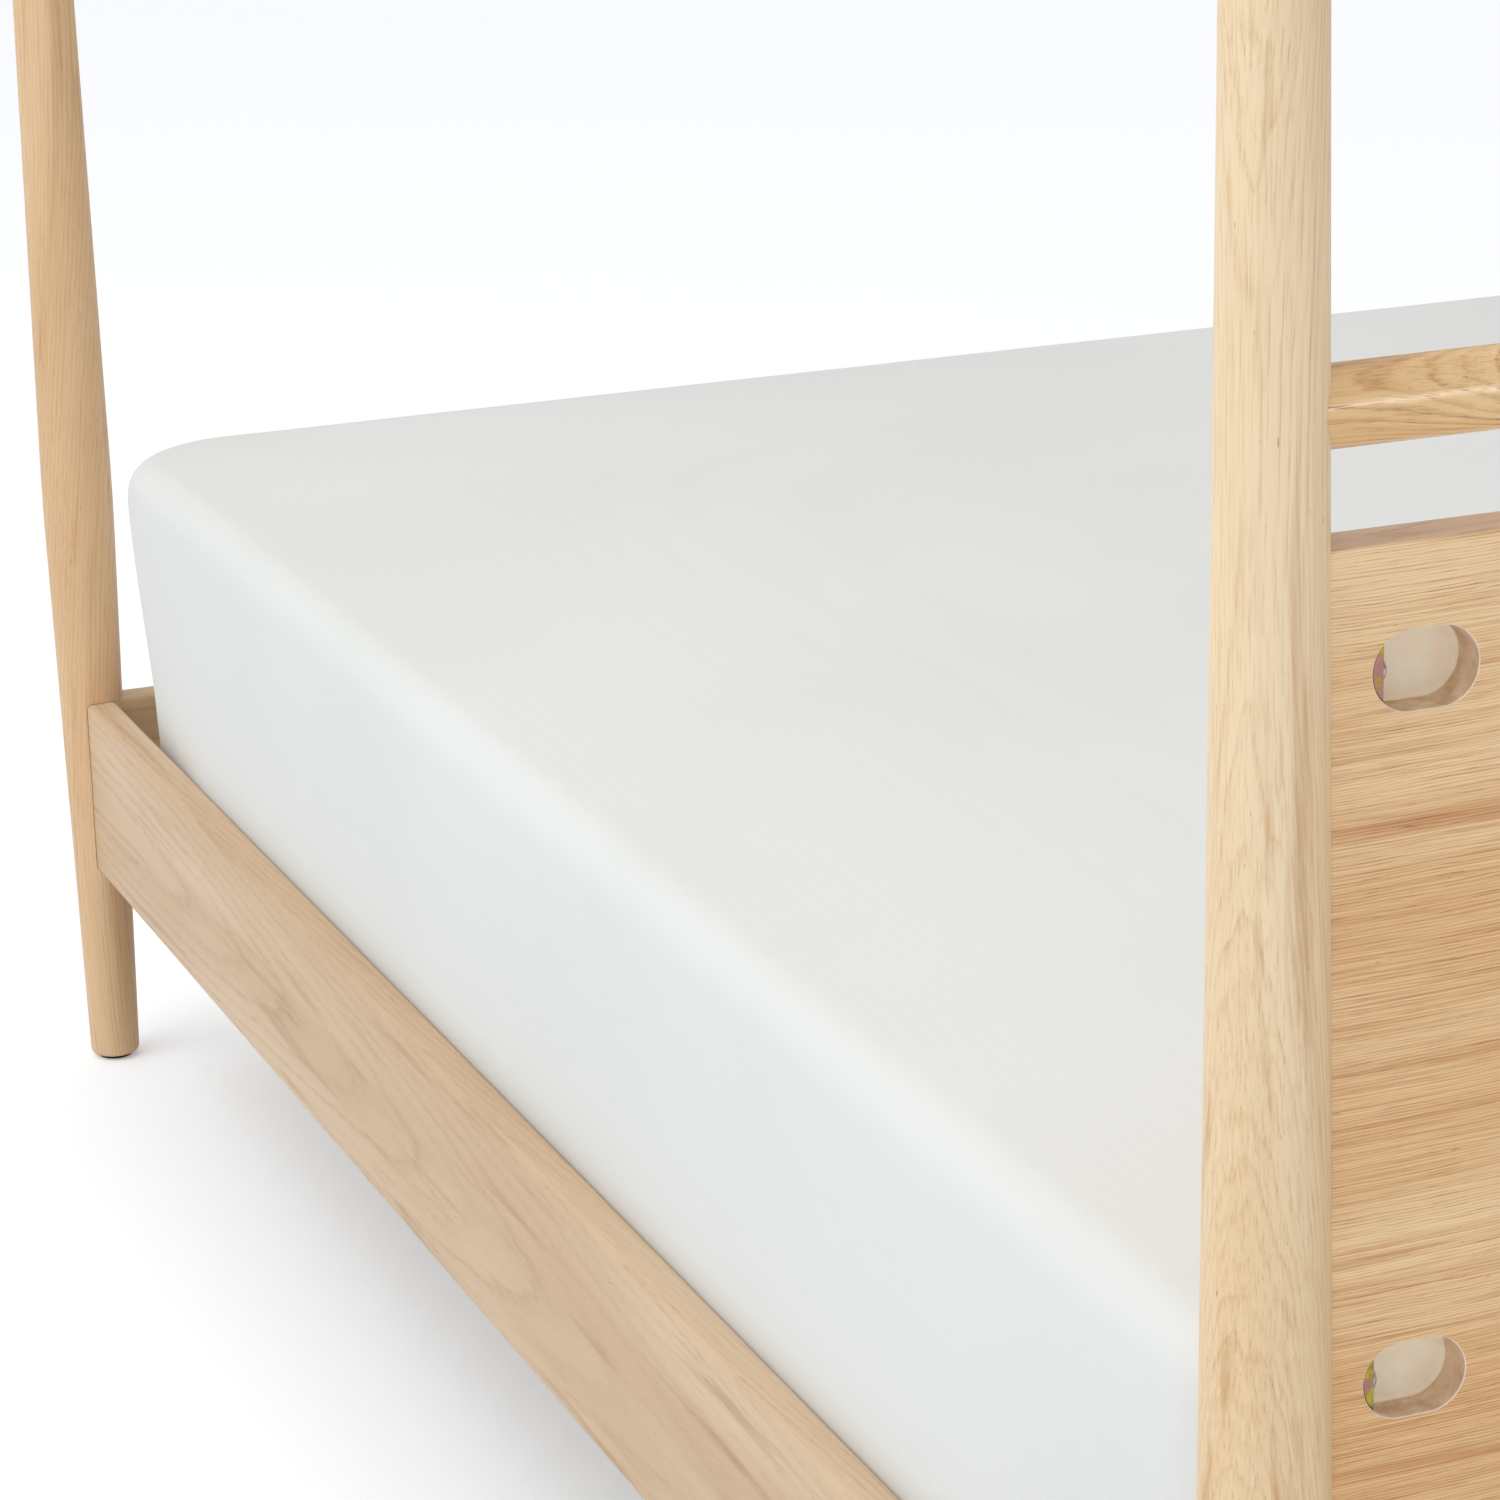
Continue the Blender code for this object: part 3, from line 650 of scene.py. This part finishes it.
def make_round_rails():
    centre = middle("headboard_top_rail")
    pith = (centre.y - PITH_BY_TOP_RAIL, centre.z - PITH_BY_TOP_RAIL)
    piece("oak_headboard_top_rail", top_rail(), "oak_glossy", (), "x", pith, 1.7, TOP_RAIL_BOW,
          stands_for=["headboard_top_rail"])
    for number, where in enumerate(("left", "right", "foot", "head")):
        name = f"canopy_rail_{where}"
        centre = middle(name)
        along = "x" if where in ENDS else "y"
        pith = ((centre.y if along == "x" else centre.x) + PITH_BY_CANOPY, centre.z - PITH_BY_CANOPY)
        piece(f"oak_{name}", round_rail(name), "oak", (), along, pith, 21.0 + 3.1 * number, stands_for=[name])


# ---- boards with bolt pockets ----


def obround(inset, trim_far=0.0, drop=0.0):
    """A pocket's outline, set in from its full size, and shorter at its far end by trim_far."""
    radius = POCKET_R - inset
    near = arc(-POCKET_NEAR - POCKET_R, radius, -90, 90, 20)
    far = arc(-POCKET_FAR + POCKET_R + trim_far, radius, 90, 270, 20)
    return [(x, z + drop) for x, z in near + far]


def pocket(place):
    """The hollow that a cutter leaves in two passes: a ledge shows at the far end and below."""
    mouth = BOLT_DEPTH
    lip = POCKET_LIP
    layers = [
        (mouth - POCKET_DEPTH, obround(0.0014, 0.0006, 0.0003)),
        (mouth - POCKET_DEPTH + 0.0006, obround(0.0008, 0.0006, 0.0003)),
        (mouth - POCKET_LEDGE, obround(0.0006, 0.0006, 0.0003)),
        (mouth - POCKET_LEDGE + 0.0002, obround(0.0)),
        (mouth - lip, obround(0.0)),
        (mouth - lip * 0.4, obround(-lip * 0.35)),
        (mouth + 0.0002, obround(-lip * 1.2)),
        (mouth + 0.0015, obround(-lip * 1.2)),
    ]
    return stacked(layers, place)


def finish_pocket_faces(obj, places):
    """Paints the faces inside each pocket as cut wood: a floor and ledge painted near white, painted light that
    lifts them out of the pocket's shade, darker walls, and a white rim of pale broken fibre with a painted
    highlight.
    """
    near = 0.001
    floor, wall, rim = range(len(obj.data.materials), len(obj.data.materials) + 3)
    for finish in ("pocket_floor_lit", "pocket_wall", "pocket_rim_highlight"):
        obj.data.materials.append(MATERIALS[finish])
    for place in places:
        inverse = place.inverted()
        for polygon in obj.data.polygons:
            at = inverse @ polygon.center
            inside = -POCKET_FAR - near < at.x < -POCKET_NEAR + near and abs(at.z) < POCKET_R + near
            if not inside or not BOLT_DEPTH - POCKET_DEPTH - near < at.y < BOLT_DEPTH - near / 100:
                continue
            facing = (inverse.to_3x3() @ polygon.normal).y
            # The rim takes a painted highlight; faces turned out of the pocket, and the step's riser, take the
            # floor's painted light.
            if at.y > BOLT_DEPTH - 0.8 * POCKET_LIP:
                polygon.material_index = rim
            elif facing > 0.9 or at.y < BOLT_DEPTH - POCKET_LEDGE:
                polygon.material_index = floor
            else:
                polygon.material_index = wall


def shade_long_edges(obj, box, finish):
    """Gives a board's top and bottom faces a browner wood: the look of wood seen on its edge, with painted
    shade on the faces turned up and down.
    """
    low, high = box
    near = 0.001
    obj.data.materials.append(MATERIALS[finish])
    for polygon in obj.data.polygons:
        if abs(polygon.normal.z) > 0.5 and not low.z + near < polygon.center.z < high.z - near:
            polygon.material_index = len(obj.data.materials) - 1


def half_moon(name, place, stands_for):
    """The half-moon washer in a pocket's round end, its edges broken."""
    radius = POCKET_R - SEAM / 2
    centre = -POCKET_NEAR - POCKET_R

    def outline(inset):
        flat = POCKET_R - WASHER_SAGITTA + inset
        half = math.degrees(math.acos(flat / (radius - inset)))
        return arc(centre, radius - inset, -half, half, 20)

    bottom, top = BOLT_DEPTH - POCKET_DEPTH + SEAM, BOLT_DEPTH - WASHER_BACK
    layers = [(bottom, outline(0.0)), (top - WASHER_BROKEN, outline(0.0)), (top, outline(WASHER_BROKEN))]
    along = "x" if abs(place[0][0]) > 0.5 else "y"
    return piece(name, stacked(layers, place), "zinc", (), along, stands_for=stands_for)


def bolt(name, place, finish, stands_for=()):
    """A bolt with a low domed head and a hexagon socket, on the washer's flat side."""
    seat = -(POCKET_NEAR + WASHER_SAGITTA + FIT)
    place = place @ lying((1, 0, 0))
    pairs = []
    for step in range(15):
        angle = math.radians(BOLT_DOME * (1 - step / 14))
        pairs.append((BOLT_HEAD_R * math.cos(angle), seat - BOLT_HEAD_H * math.sin(angle)))
    pairs += [(BOLT_HEAD_R * 0.97, seat), (BOLT_R, seat), (BOLT_R, BOLT_SHANK)]
    socket = turned([(SOCKET_R, seat - BOLT_HEAD_H - 0.001), (SOCKET_R, seat - SOCKET_FLOOR)], 6, place)
    return piece(name, turned(pairs, 40, place), finish, [socket], stands_for=stands_for)


def bed_rail(name, along, out, bolts, pith_z, shift):
    """A side, foot or head rail: out is its side of the bed, and bolts are (CAD node, end of the rail)."""
    low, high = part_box(name)
    ahead = "xy".index(along)
    across = 1 - ahead
    places = {}
    for node, end in bolts:
        origin, forward, mouth = Vector((0, 0, middle(node).z)), Vector(), Vector()
        origin[ahead] = end * (POST_X, POST_Y)[ahead]
        origin[across] = (low if out > 0 else high)[across] + out * BOLT_DEPTH
        forward[ahead] = end
        mouth[across] = -out
        places[node] = bolt_frame(origin, forward, mouth)
    cutters = [pocket(place) for place in places.values()]
    pith = (out * ((POST_X, POST_Y)[across] - PITH_BEHIND_RAIL), pith_z)
    rail = piece(f"oak_{name}", rail_board(name, sections=GRAIN_SECTIONS), "oak_rail", cutters, along, pith,
                 shift + out, ((out, RAIL_BOW_RISE), *RAIL_BOW), stands_for=[name])
    # Pocket floors are painted near white as painted light, and their rims carry a painted highlight.
    finish_pocket_faces(rail, places.values())
    # Painted shade: the rail's top and bottom faces take a darker oak.
    shade_long_edges(rail, (low, high), "oak_rail_edge_shaded")
    for node, place in places.items():
        half_moon(f"washer_{node}", place, [node])
        bolt(f"screw_{node}", place, "steel")


def make_bed_rails():
    for side_name, side in SIDES.items():
        bolts = [(f"side_rail_bolt_{end_name}_{side_name}", end) for end_name, end in ENDS.items()]
        bed_rail(f"side_rail_{side_name}", "y", side, bolts, SIDE_RAIL_PITH_Z, 33.0)
    for end_name, end in ENDS.items():
        bolts = [(f"{end_name}_rail_bolt_{side_name}", side) for side_name, side in SIDES.items()]
        bed_rail(f"{end_name}_rail", "x", end, bolts, END_RAIL_PITH_Z, 41.0)


def make_headboard():
    low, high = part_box("headboard_panel")
    places = {}
    for side_name, side in SIDES.items():
        for level in ("upper", "lower"):
            z = middle(f"half_moon_washer_{level}_{side_name}").z
            origin = (side * POST_X, high.y - BOLT_DEPTH, z)
            places[f"{level}_{side_name}"] = bolt_frame(origin, (side, 0, 0), (0, 1, 0))
    cutters = [pocket(place) for place in places.values()]
    pith = (POST_Y - PITH_BEHIND_PANEL, high.z + PITH_OVER_PANEL)
    shape = panel_board(sections=GRAIN_SECTIONS)
    panel = piece("oak_headboard_panel", shape, "oak_panel", cutters, "x", pith, 3.3, PANEL_BOW,
                  stands_for=["headboard_panel"])
    # Pocket floors are painted near white as painted light, and their rims carry a painted highlight.
    finish_pocket_faces(panel, places.values())
    # Painted shade: the panel's top and bottom faces take a darker, pinker oak.
    shade_long_edges(panel, (low, high), "oak_panel_edge_shaded")
    for where, place in places.items():
        half_moon(f"zinc_washer_{where}", place, [f"half_moon_washer_{where}"])
        bolt(f"steel_bolt_{where}", place, "steel", [f"headboard_bolt_{where}"])


# ---- slats and centre support ----


def screw_heads(name, places):
    """Low domed screw heads, joined in one piece: (place, axis out of the wood) for each."""
    whole = bmesh.new()
    for spot, out in places:
        pairs = [(SCREW_HEAD_R, -0.004), (SCREW_HEAD_R, 0.0)]
        for angle in (25, 50, 75):
            turn = math.radians(angle)
            pairs.append((SCREW_HEAD_R * math.cos(turn), SCREW_HEAD_H * math.sin(turn)))
        head = turned(pairs, 20, Matrix.Translation(spot) @ lying(out))
        part = bpy.data.meshes.new("part")
        head.to_mesh(part)
        head.free()
        whole.from_mesh(part)
        bpy.data.meshes.remove(part)
    return piece(name, whole, "zinc")


def make_slats():
    screws = []
    for side_name, side in SIDES.items():
        name = f"slat_ledge_{side_name}"
        low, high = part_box(name)
        shape = board(low, high, "y", SLAT_ROUND, 3)
        piece(f"wood_{name}", shape, "slat_wood", (), "y", (side * 0.6, 0.1), 51.0 + side, stands_for=[name])
        inner = low.x if side > 0 else high.x
        for step in range(7):
            y = low.y + 0.08 + (high.y - low.y - 0.16) * step / 6
            screws.append(((inner, y, (low.z + high.z) / 2), (-side, 0, 0)))
    numbers = sorted(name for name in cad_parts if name.startswith("slat_") and name[5:].isdigit())
    for number, name in enumerate(numbers):
        low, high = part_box(name)
        shape = board(low, high, "x", SLAT_ROUND, 3)
        y = (low.y + high.y) / 2
        pith = (y + 0.04 * math.sin(2.4 * number), low.z - 0.03 - 0.02 * math.cos(1.7 * number))
        piece(f"wood_{name}", shape, "slat_wood", (), "x", pith, 60.0 + 2.7 * number, stands_for=[name])
        for side in SIDES.values():
            for across in (-0.02, 0.02):
                screws.append(((side * (high.x - 0.012), y + across, high.z - 0.0014), (0, 0, 1)))
    screw_heads("slat_screws", screws)


def bracket_shape(name, end):
    """The steel saddle: a plate on the cross rail and a trough that holds the beam's end."""
    low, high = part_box(name)
    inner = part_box("centre_beam")[1].x + FIT
    outer = inner + BRACKET_WALL
    right = [(outer, low.z), (outer, high.z), (inner, high.z), (inner, low.z + BRACKET_WALL)]
    outline = right + [(-x, z) for x, z in reversed(right)]
    saddle = stacked([(low.y, outline), (high.y, outline)], Matrix.Identity(4))
    back = low.y if end < 0 else high.y
    near, far = sorted((back, back - end * BRACKET_WALL))
    plate = board((low.x, near, low.z), (high.x, far, high.z), "y", 0.004, 4)
    return saddle, plate


def make_centre_support():
    low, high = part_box("centre_beam")
    shape = board(low, high, "y", SLAT_ROUND, 3)
    piece("wood_centre_beam", shape, "slat_wood", (), "y", (0.05, 0.12), 97.0, stands_for=["centre_beam"])
    screws = []
    for end_name, end in ENDS.items():
        name = f"beam_bracket_{end_name}"
        joined = bmesh.new()
        for shape in bracket_shape(name, end):
            part = mesh_from(shape, "part")
            joined.from_mesh(part)
            bpy.data.meshes.remove(part)
        piece(f"steel_{name}", joined, "steel", stands_for=[name])
        box_low, box_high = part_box(name)
        y = (box_low.y if end < 0 else box_high.y) - end * BRACKET_WALL
        for side in SIDES.values():
            for z in (box_low.z + 0.012, box_high.z - 0.012):
                screws.append(((side * (box_high.x - 0.008), y, z), (0, -end, 0)))
    screw_heads("bracket_screws", screws)
    for leg in ("head", "middle", "foot"):
        name = f"centre_leg_{leg}"
        low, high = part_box(name)
        centre = (low + high) / 2
        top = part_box("centre_beam")[0].z - FIT
        place = Matrix.Translation((centre.x, centre.y, 0))
        pairs = rounded_end(LEG_FOOT_R, low.z, LEG_ROUND, True, 4)
        for step in range(1, 6):
            radius = LEG_FOOT_R + (LEG_TOP_R - LEG_FOOT_R) * step / 6
            pairs.append((radius, low.z + LEG_ROUND + (top - low.z - 2 * LEG_ROUND) * step / 6))
        pairs += rounded_end(LEG_TOP_R, top, LEG_ROUND, False, 4)
        hole = turned([(LEG_HOLE_R, 0.0), (LEG_HOLE_R, LEG_HOLE_TOP)], 32, place)
        piece(f"oak_{name}", turned(pairs, 48, place), "oak", [hole], "z", (0.06, centre.y), 111.0 + centre.y,
              stands_for=[name])


def make_levelling_feet():
    """Pad, hexagon and threaded stud of each screw-in foot, riding on its own screw."""
    for leg in ("head", "middle", "foot"):
        name = f"levelling_foot_{leg}"
        low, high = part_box(name)
        place = Matrix.Translation((0, (low.y + high.y) / 2, 0))
        pad = [(PAD_R - 0.0008, 0.0), (PAD_R, 0.0008), (PAD_R, 0.0036), (PAD_R - 0.0008, 0.0046)]
        pad += [(PAD_R - 0.0040, 0.0058), (NUT_R - 0.0010, 0.0060)]
        body = f"foot_screw_{leg}"
        piece(f"nylon_pad_{leg}", turned(pad, 64, place), "nylon", body=body, stands_for=[name])
        nut = [(NUT_R - 0.0005, NUT_LOW), (NUT_R, NUT_LOW + 0.0005)]
        nut += [(NUT_R, NUT_HIGH - 0.0004), (NUT_R - 0.0005, NUT_HIGH)]
        piece(f"steel_nut_{leg}", turned(nut, 6, place), "steel", body=body)
        thread = [(THREAD_CORE_R, NUT_HIGH)]
        for turn in range(int((high.z - NUT_HIGH - 0.0005) / THREAD_PITCH)):
            base = NUT_HIGH + 0.0002 + turn * THREAD_PITCH
            thread.append((THREAD_CORE_R, base))
            thread += [(THREAD_R, base + share * THREAD_PITCH) for share in (0.4, 0.6)]
        thread.append((THREAD_CORE_R, high.z))
        piece(f"steel_stud_{leg}", turned(thread, 32, place), "steel", body=body)


def make_glides():
    for end_name, end in ENDS.items():
        for side_name, side in SIDES.items():
            name = f"glide_{end_name}_{side_name}"
            place = Matrix.Translation((side * POST_X, end * POST_Y, 0))
            pairs = rounded_end(GLIDE_R, 0.0, 0.0010, True, 4) + [(GLIDE_R, POST_BOTTOM - FIT)]
            piece(f"nylon_{name}", turned(pairs, 64, place), "nylon", stands_for=[name])


# ---- mattress and sheet ----


def soft_block(low, high):
    """The mattress before it is filled: a block of faces that are smallest along its edges."""
    size = high - low
    counts = [max(round(length / CLOTH_GRID), 2) for length in size]
    bm = bmesh.new()
    known = {}

    def vertex(*steps):
        if steps not in known:
            even = [step / count for step, count in zip(steps, counts)]
            share = [at - GRID_CROWD * math.sin(2 * math.pi * at) / (2 * math.pi) for at in even]
            known[steps] = bm.verts.new([low[a] + size[a] * share[a] for a in range(3)])
        return known[steps]

    for axis in range(3):
        u, v = [a for a in range(3) if a != axis]
        for end in (0, counts[axis]):
            for i in range(counts[u]):
                for j in range(counts[v]):
                    corners = []
                    for di, dj in ((0, 0), (1, 0), (1, 1), (0, 1)):
                        steps = [0, 0, 0]
                        steps[axis], steps[u], steps[v] = end, i + di, j + dj
                        corners.append(vertex(*steps))
                    bm.faces.new(corners)
    return bm


def rounded_plan(x, y, low, high):
    """A point of a rectangle moved into one with round corners, with its distance in from the edge."""
    centre = ((low.x + high.x) / 2, (low.y + high.y) / 2)
    half = ((high.x - low.x) / 2, (high.y - low.y) / 2)
    dx, dy = abs(x - centre[0]), abs(y - centre[1])
    rx, ry = dx - (half[0] - PLAN_CORNER), dy - (half[1] - PLAN_CORNER)
    if rx > 0 and ry > 0:
        square = max(rx, ry)
        long = math.hypot(rx, ry)
        dx = half[0] - PLAN_CORNER + rx * square / long
        dy = half[1] - PLAN_CORNER + ry * square / long
        inside = PLAN_CORNER - square
        out = Vector((math.copysign(rx, x - centre[0]), math.copysign(ry, y - centre[1]))) / long
    else:
        inside = min(half[0] - dx, half[1] - dy)
        if half[0] - dx < half[1] - dy:
            out = Vector((math.copysign(1, x - centre[0]), 0))
        else:
            out = Vector((0, math.copysign(1, y - centre[1])))
    x, y = centre[0] + math.copysign(dx, x - centre[0]), centre[1] + math.copysign(dy, y - centre[1])
    return x, y, inside, out


def shape_mattress(bm, low, high):
    """Rounds the block's plan corners and edges, tucks its lower edge in, and crowns its top."""
    middle_y = (low.y + high.y) / 2
    for vert in bm.verts:
        x, y, z = vert.co
        ends = [min(vert.co[a] - low[a], high[a] - vert.co[a]) for a in (0, 1)]
        x, y, inside, out = rounded_plan(x, y, low, high)
        for edge, rounding, sign in ((high.z, EDGE_ROUND, 1), (low.z, EDGE_ROUND * 0.7, -1)):
            drop = abs(edge - z)
            if drop < 1e-5 and inside < rounding:
                angle = math.radians(45 + 45 * inside / rounding)
            elif inside < 1e-5 and drop < rounding:
                angle = math.radians(45 * (1 - drop / rounding))
            else:
                continue
            pull = rounding * (1 - math.cos(angle)) - inside
            x, y = x - out.x * pull, y - out.y * pull
            z = edge - sign * rounding * (1 - math.sin(angle))
        height = (z - low.z) / (high.z - low.z)
        # The side stands straight above and draws in below, most at the corners.
        near = max(0.0, 1 - max(ends) / CORNER_REACH)
        corner = near * near * (3 - 2 * near)
        tuck = (SIDE_TUCK + CORNER_TUCK * corner) * max(0.0, 1 - height / 0.9) ** 1.3
        tuck *= max(0.0, 1 - inside / TUCK_FADE)
        x, y = x - out.x * tuck, y - out.y * tuck
        across = 1 - ((x / high.x) ** 2) ** 1.6
        along = 1 - (abs(y - middle_y) / (high.y - middle_y)) ** 5
        if height > 0.5:
            z += CROWN * max(across, 0) * max(along, 0) * (height - 0.5) * 2
        vert.co = (x, y, z)


def fill(obj):
    """Inflates the cover as cloth under pressure, and lets no point move further than the cap."""
    before = np.array([v.co for v in obj.data.vertices], float)
    scene = bpy.context.scene
    cloth = obj.modifiers.new("cloth", "CLOTH")
    for key, value in CLOTH.items():
        setattr(cloth.settings, key, value)
    cloth.settings.effector_weights.gravity = 0.0
    cloth.point_cache.frame_start = 1
    cloth.point_cache.frame_end = SIM_FRAMES
    for step in range(1, SIM_FRAMES + 1):
        scene.frame_set(step)
    apply_modifiers(obj)
    scene.frame_set(1)
    moved = np.array([v.co for v in obj.data.vertices], float) - before
    length = np.linalg.norm(moved, axis=1, keepdims=True)
    capped = SIM_CAP * np.tanh(length / SIM_CAP)
    return before, moved * capped / np.maximum(length, 1e-9)


def held_in(places):
    """Moves points that are lower than the bed's boards to the inside of those boards."""
    gap = SHEET_OFF + SHEET_T + RAIL_GAP
    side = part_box("side_rail_right")[0].x - gap
    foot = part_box("foot_rail")[1].y + gap
    head = min(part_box("head_rail")[0].y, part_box("headboard_panel")[0].y) - gap
    held = places.copy()
    held[:, 0] = np.clip(places[:, 0], -side, side)
    held[:, 1] = np.clip(places[:, 1], foot, head)
    return held


def make_mattress():
    low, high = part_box("mattress")
    low, high = low - COVER_LOW, high + COVER_HIGH
    bm = soft_block(low, high)
    shape_mattress(bm, low, high)
    core = link("mattress_core", mesh_from(bm, "mattress_core"))
    before, moved = fill(core)
    # The slats hold the underside flat, and the rails hold the sides in.
    start, length = UNDER_HELD
    free = np.clip((before[:, 2:3] - low.z - start) / length, 0, 1)
    places = held_in(before + moved * free)
    core.data.vertices.foreach_set("co", places.astype(np.float32).ravel())
    core.data.materials.append(MATERIALS["ticking"])
    make_sheet(core)
    set_grain(core, "x")
    core.data.shade_smooth()
    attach(core, "mattress_body")
    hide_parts("mattress")


def make_sheet(core):
    """The fitted sheet: over the top and sides, tucked under, and gathered at its hem."""
    bm = bmesh.new()
    bm.from_mesh(core.data)
    bm.normal_update()
    under = []
    box_low, box_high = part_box("mattress")
    for face in bm.faces:
        at = face.calc_center_median()
        inside = rounded_plan(at.x, at.y, box_low, box_high)[2]
        if face.normal.z < -0.9 and inside > SHEET_TUCK:
            under.append(face)
    bmesh.ops.delete(bm, geom=under, context="FACES")
    normals = {v: v.normal.copy() for v in bm.verts}
    for vert, normal in normals.items():
        off = SHEET_OFF
        if normal.z < -0.7:
            inside, out = rounded_plan(vert.co.x, vert.co.y, box_low, box_high)[2:]
            # Gathers run across the hem and fade towards the mattress's edge.
            run = vert.co.x * abs(out.y) + vert.co.y * abs(out.x)
            off = HEM_OFF + HEM_WAVE * math.sin(run * 150) * min(inside / SHEET_TUCK, 1.0)
        vert.co = vert.co + normal * off
    mesh = bpy.data.meshes.new("fitted_sheet")
    bm.to_mesh(mesh)
    bm.free()
    sheet = link("fitted_sheet", mesh)
    mesh.materials.append(MATERIALS["sheet"])
    smooth = sheet.modifiers.new("smooth", "SUBSURF")
    smooth.levels = smooth.render_levels = 1
    thick = sheet.modifiers.new("thick", "SOLIDIFY")
    thick.thickness = SHEET_T
    thick.offset = 1.0
    apply_modifiers(sheet)
    set_grain(sheet, "x")
    sheet.data.shade_smooth()
    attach(sheet, "mattress_body")


# ---- studio ----


def make_camera():
    """A long lens behind the head of the bed, above its right corner, looking down along its right side."""
    data = bpy.data.cameras.new("camera")
    data.lens = CAMERA_LENS
    data.sensor_width = 36.0
    camera = link("camera", data)
    yaw, pitch, roll = CAMERA_TURN
    forward = Vector((-math.sin(yaw) * math.cos(pitch), -math.cos(yaw) * math.cos(pitch), -math.sin(pitch)))
    right = forward.cross(Vector((0, 0, 1))).normalized()
    up = right.cross(forward)
    right, up = right * math.cos(roll) - up * math.sin(roll), up * math.cos(roll) + right * math.sin(roll)
    turn = Matrix((right, up, -forward)).transposed().to_4x4()
    camera.matrix_world = Matrix.Translation(CAMERA_PLACE) @ turn
    bpy.context.scene.camera = camera


def area_light(name, place, target, size, power, colour):
    data = bpy.data.lights.new(name, "AREA")
    data.shape = "RECTANGLE"
    data.size, data.size_y = size
    data.energy = power
    data.color = colour
    light = link(name, data)
    aim = Vector(target) - Vector(place)
    light.matrix_world = Matrix.Translation(place) @ aim.to_track_quat("-Z", "Y").to_matrix().to_4x4()
    return light


def make_studio():
    bm = bmesh.new()
    bmesh.ops.create_grid(bm, x_segments=1, y_segments=1, size=GROUND_HALF)
    mesh = bpy.data.meshes.new("floor")
    bm.to_mesh(mesh)
    bm.free()
    floor = link("floor", mesh)
    s = Shader("floor_finish", 0.9)
    place = s.node("ShaderNodeTexCoord", output="Object")
    s.colour(s.mix(s.noise(place, (0.6, 0.6, 0.6)), rgb(245, 248, 253), rgb(243, 246, 251)))
    # The picture's white ground is only seen: it adds no light to the bed.
    s.surface.inputs["Emission Color"].default_value = (1.0, 1.0, 1.0, 1.0)
    seen_from = s.node("ShaderNodeLightPath", output="Is Camera Ray")
    s.tree.links.new(s.maths("MULTIPLY", seen_from, GROUND_GLOW), s.surface.inputs["Emission Strength"])
    mesh.materials.append(s.material)
    lights = {name: area_light(name, *values) for name, values in LIGHTS.items()}
    # Only seen as a gloss: a narrow lit band behind the camera.
    lights["strip"].visible_diffuse = False
    world = bpy.data.worlds.new("world")
    bpy.context.scene.world = world
    world.use_nodes = True
    w = Nodes(world.node_tree)
    # The studio is brightest overhead, and darkest behind the head's left corner. The camera sees it white.
    way = w.node("ShaderNodeTexCoord", output="Generated")
    facing = w.node("ShaderNodeVectorMath", {0: way, 1: SKY_TOWARDS}, output="Value", operation="DOT_PRODUCT")
    strength = w.node("ShaderNodeMapRange", {"Value": facing, **SKY_LIGHT})
    light = w.node("ShaderNodeBackground", {"Color": (1.0, 0.995, 0.985, 1.0), "Strength": strength})
    seen = w.tree.nodes["Background"]
    seen.inputs["Color"].default_value = (1.0, 1.0, 1.0, 1.0)
    seen.inputs["Strength"].default_value = SKY_SEEN
    seen_from = w.node("ShaderNodeLightPath", output="Is Camera Ray")
    surface = w.node("ShaderNodeMixShader", {0: seen_from, 1: light, 2: seen.outputs[0]})
    w.tree.links.new(surface, w.tree.nodes["World Output"].inputs["Surface"])
    bpy.context.scene.view_settings.view_transform = "Standard"


make_posts()
make_glides()
make_round_rails()
make_bed_rails()
make_headboard()
make_slats()
make_centre_support()
make_levelling_feet()
make_mattress()
make_camera()
make_studio()
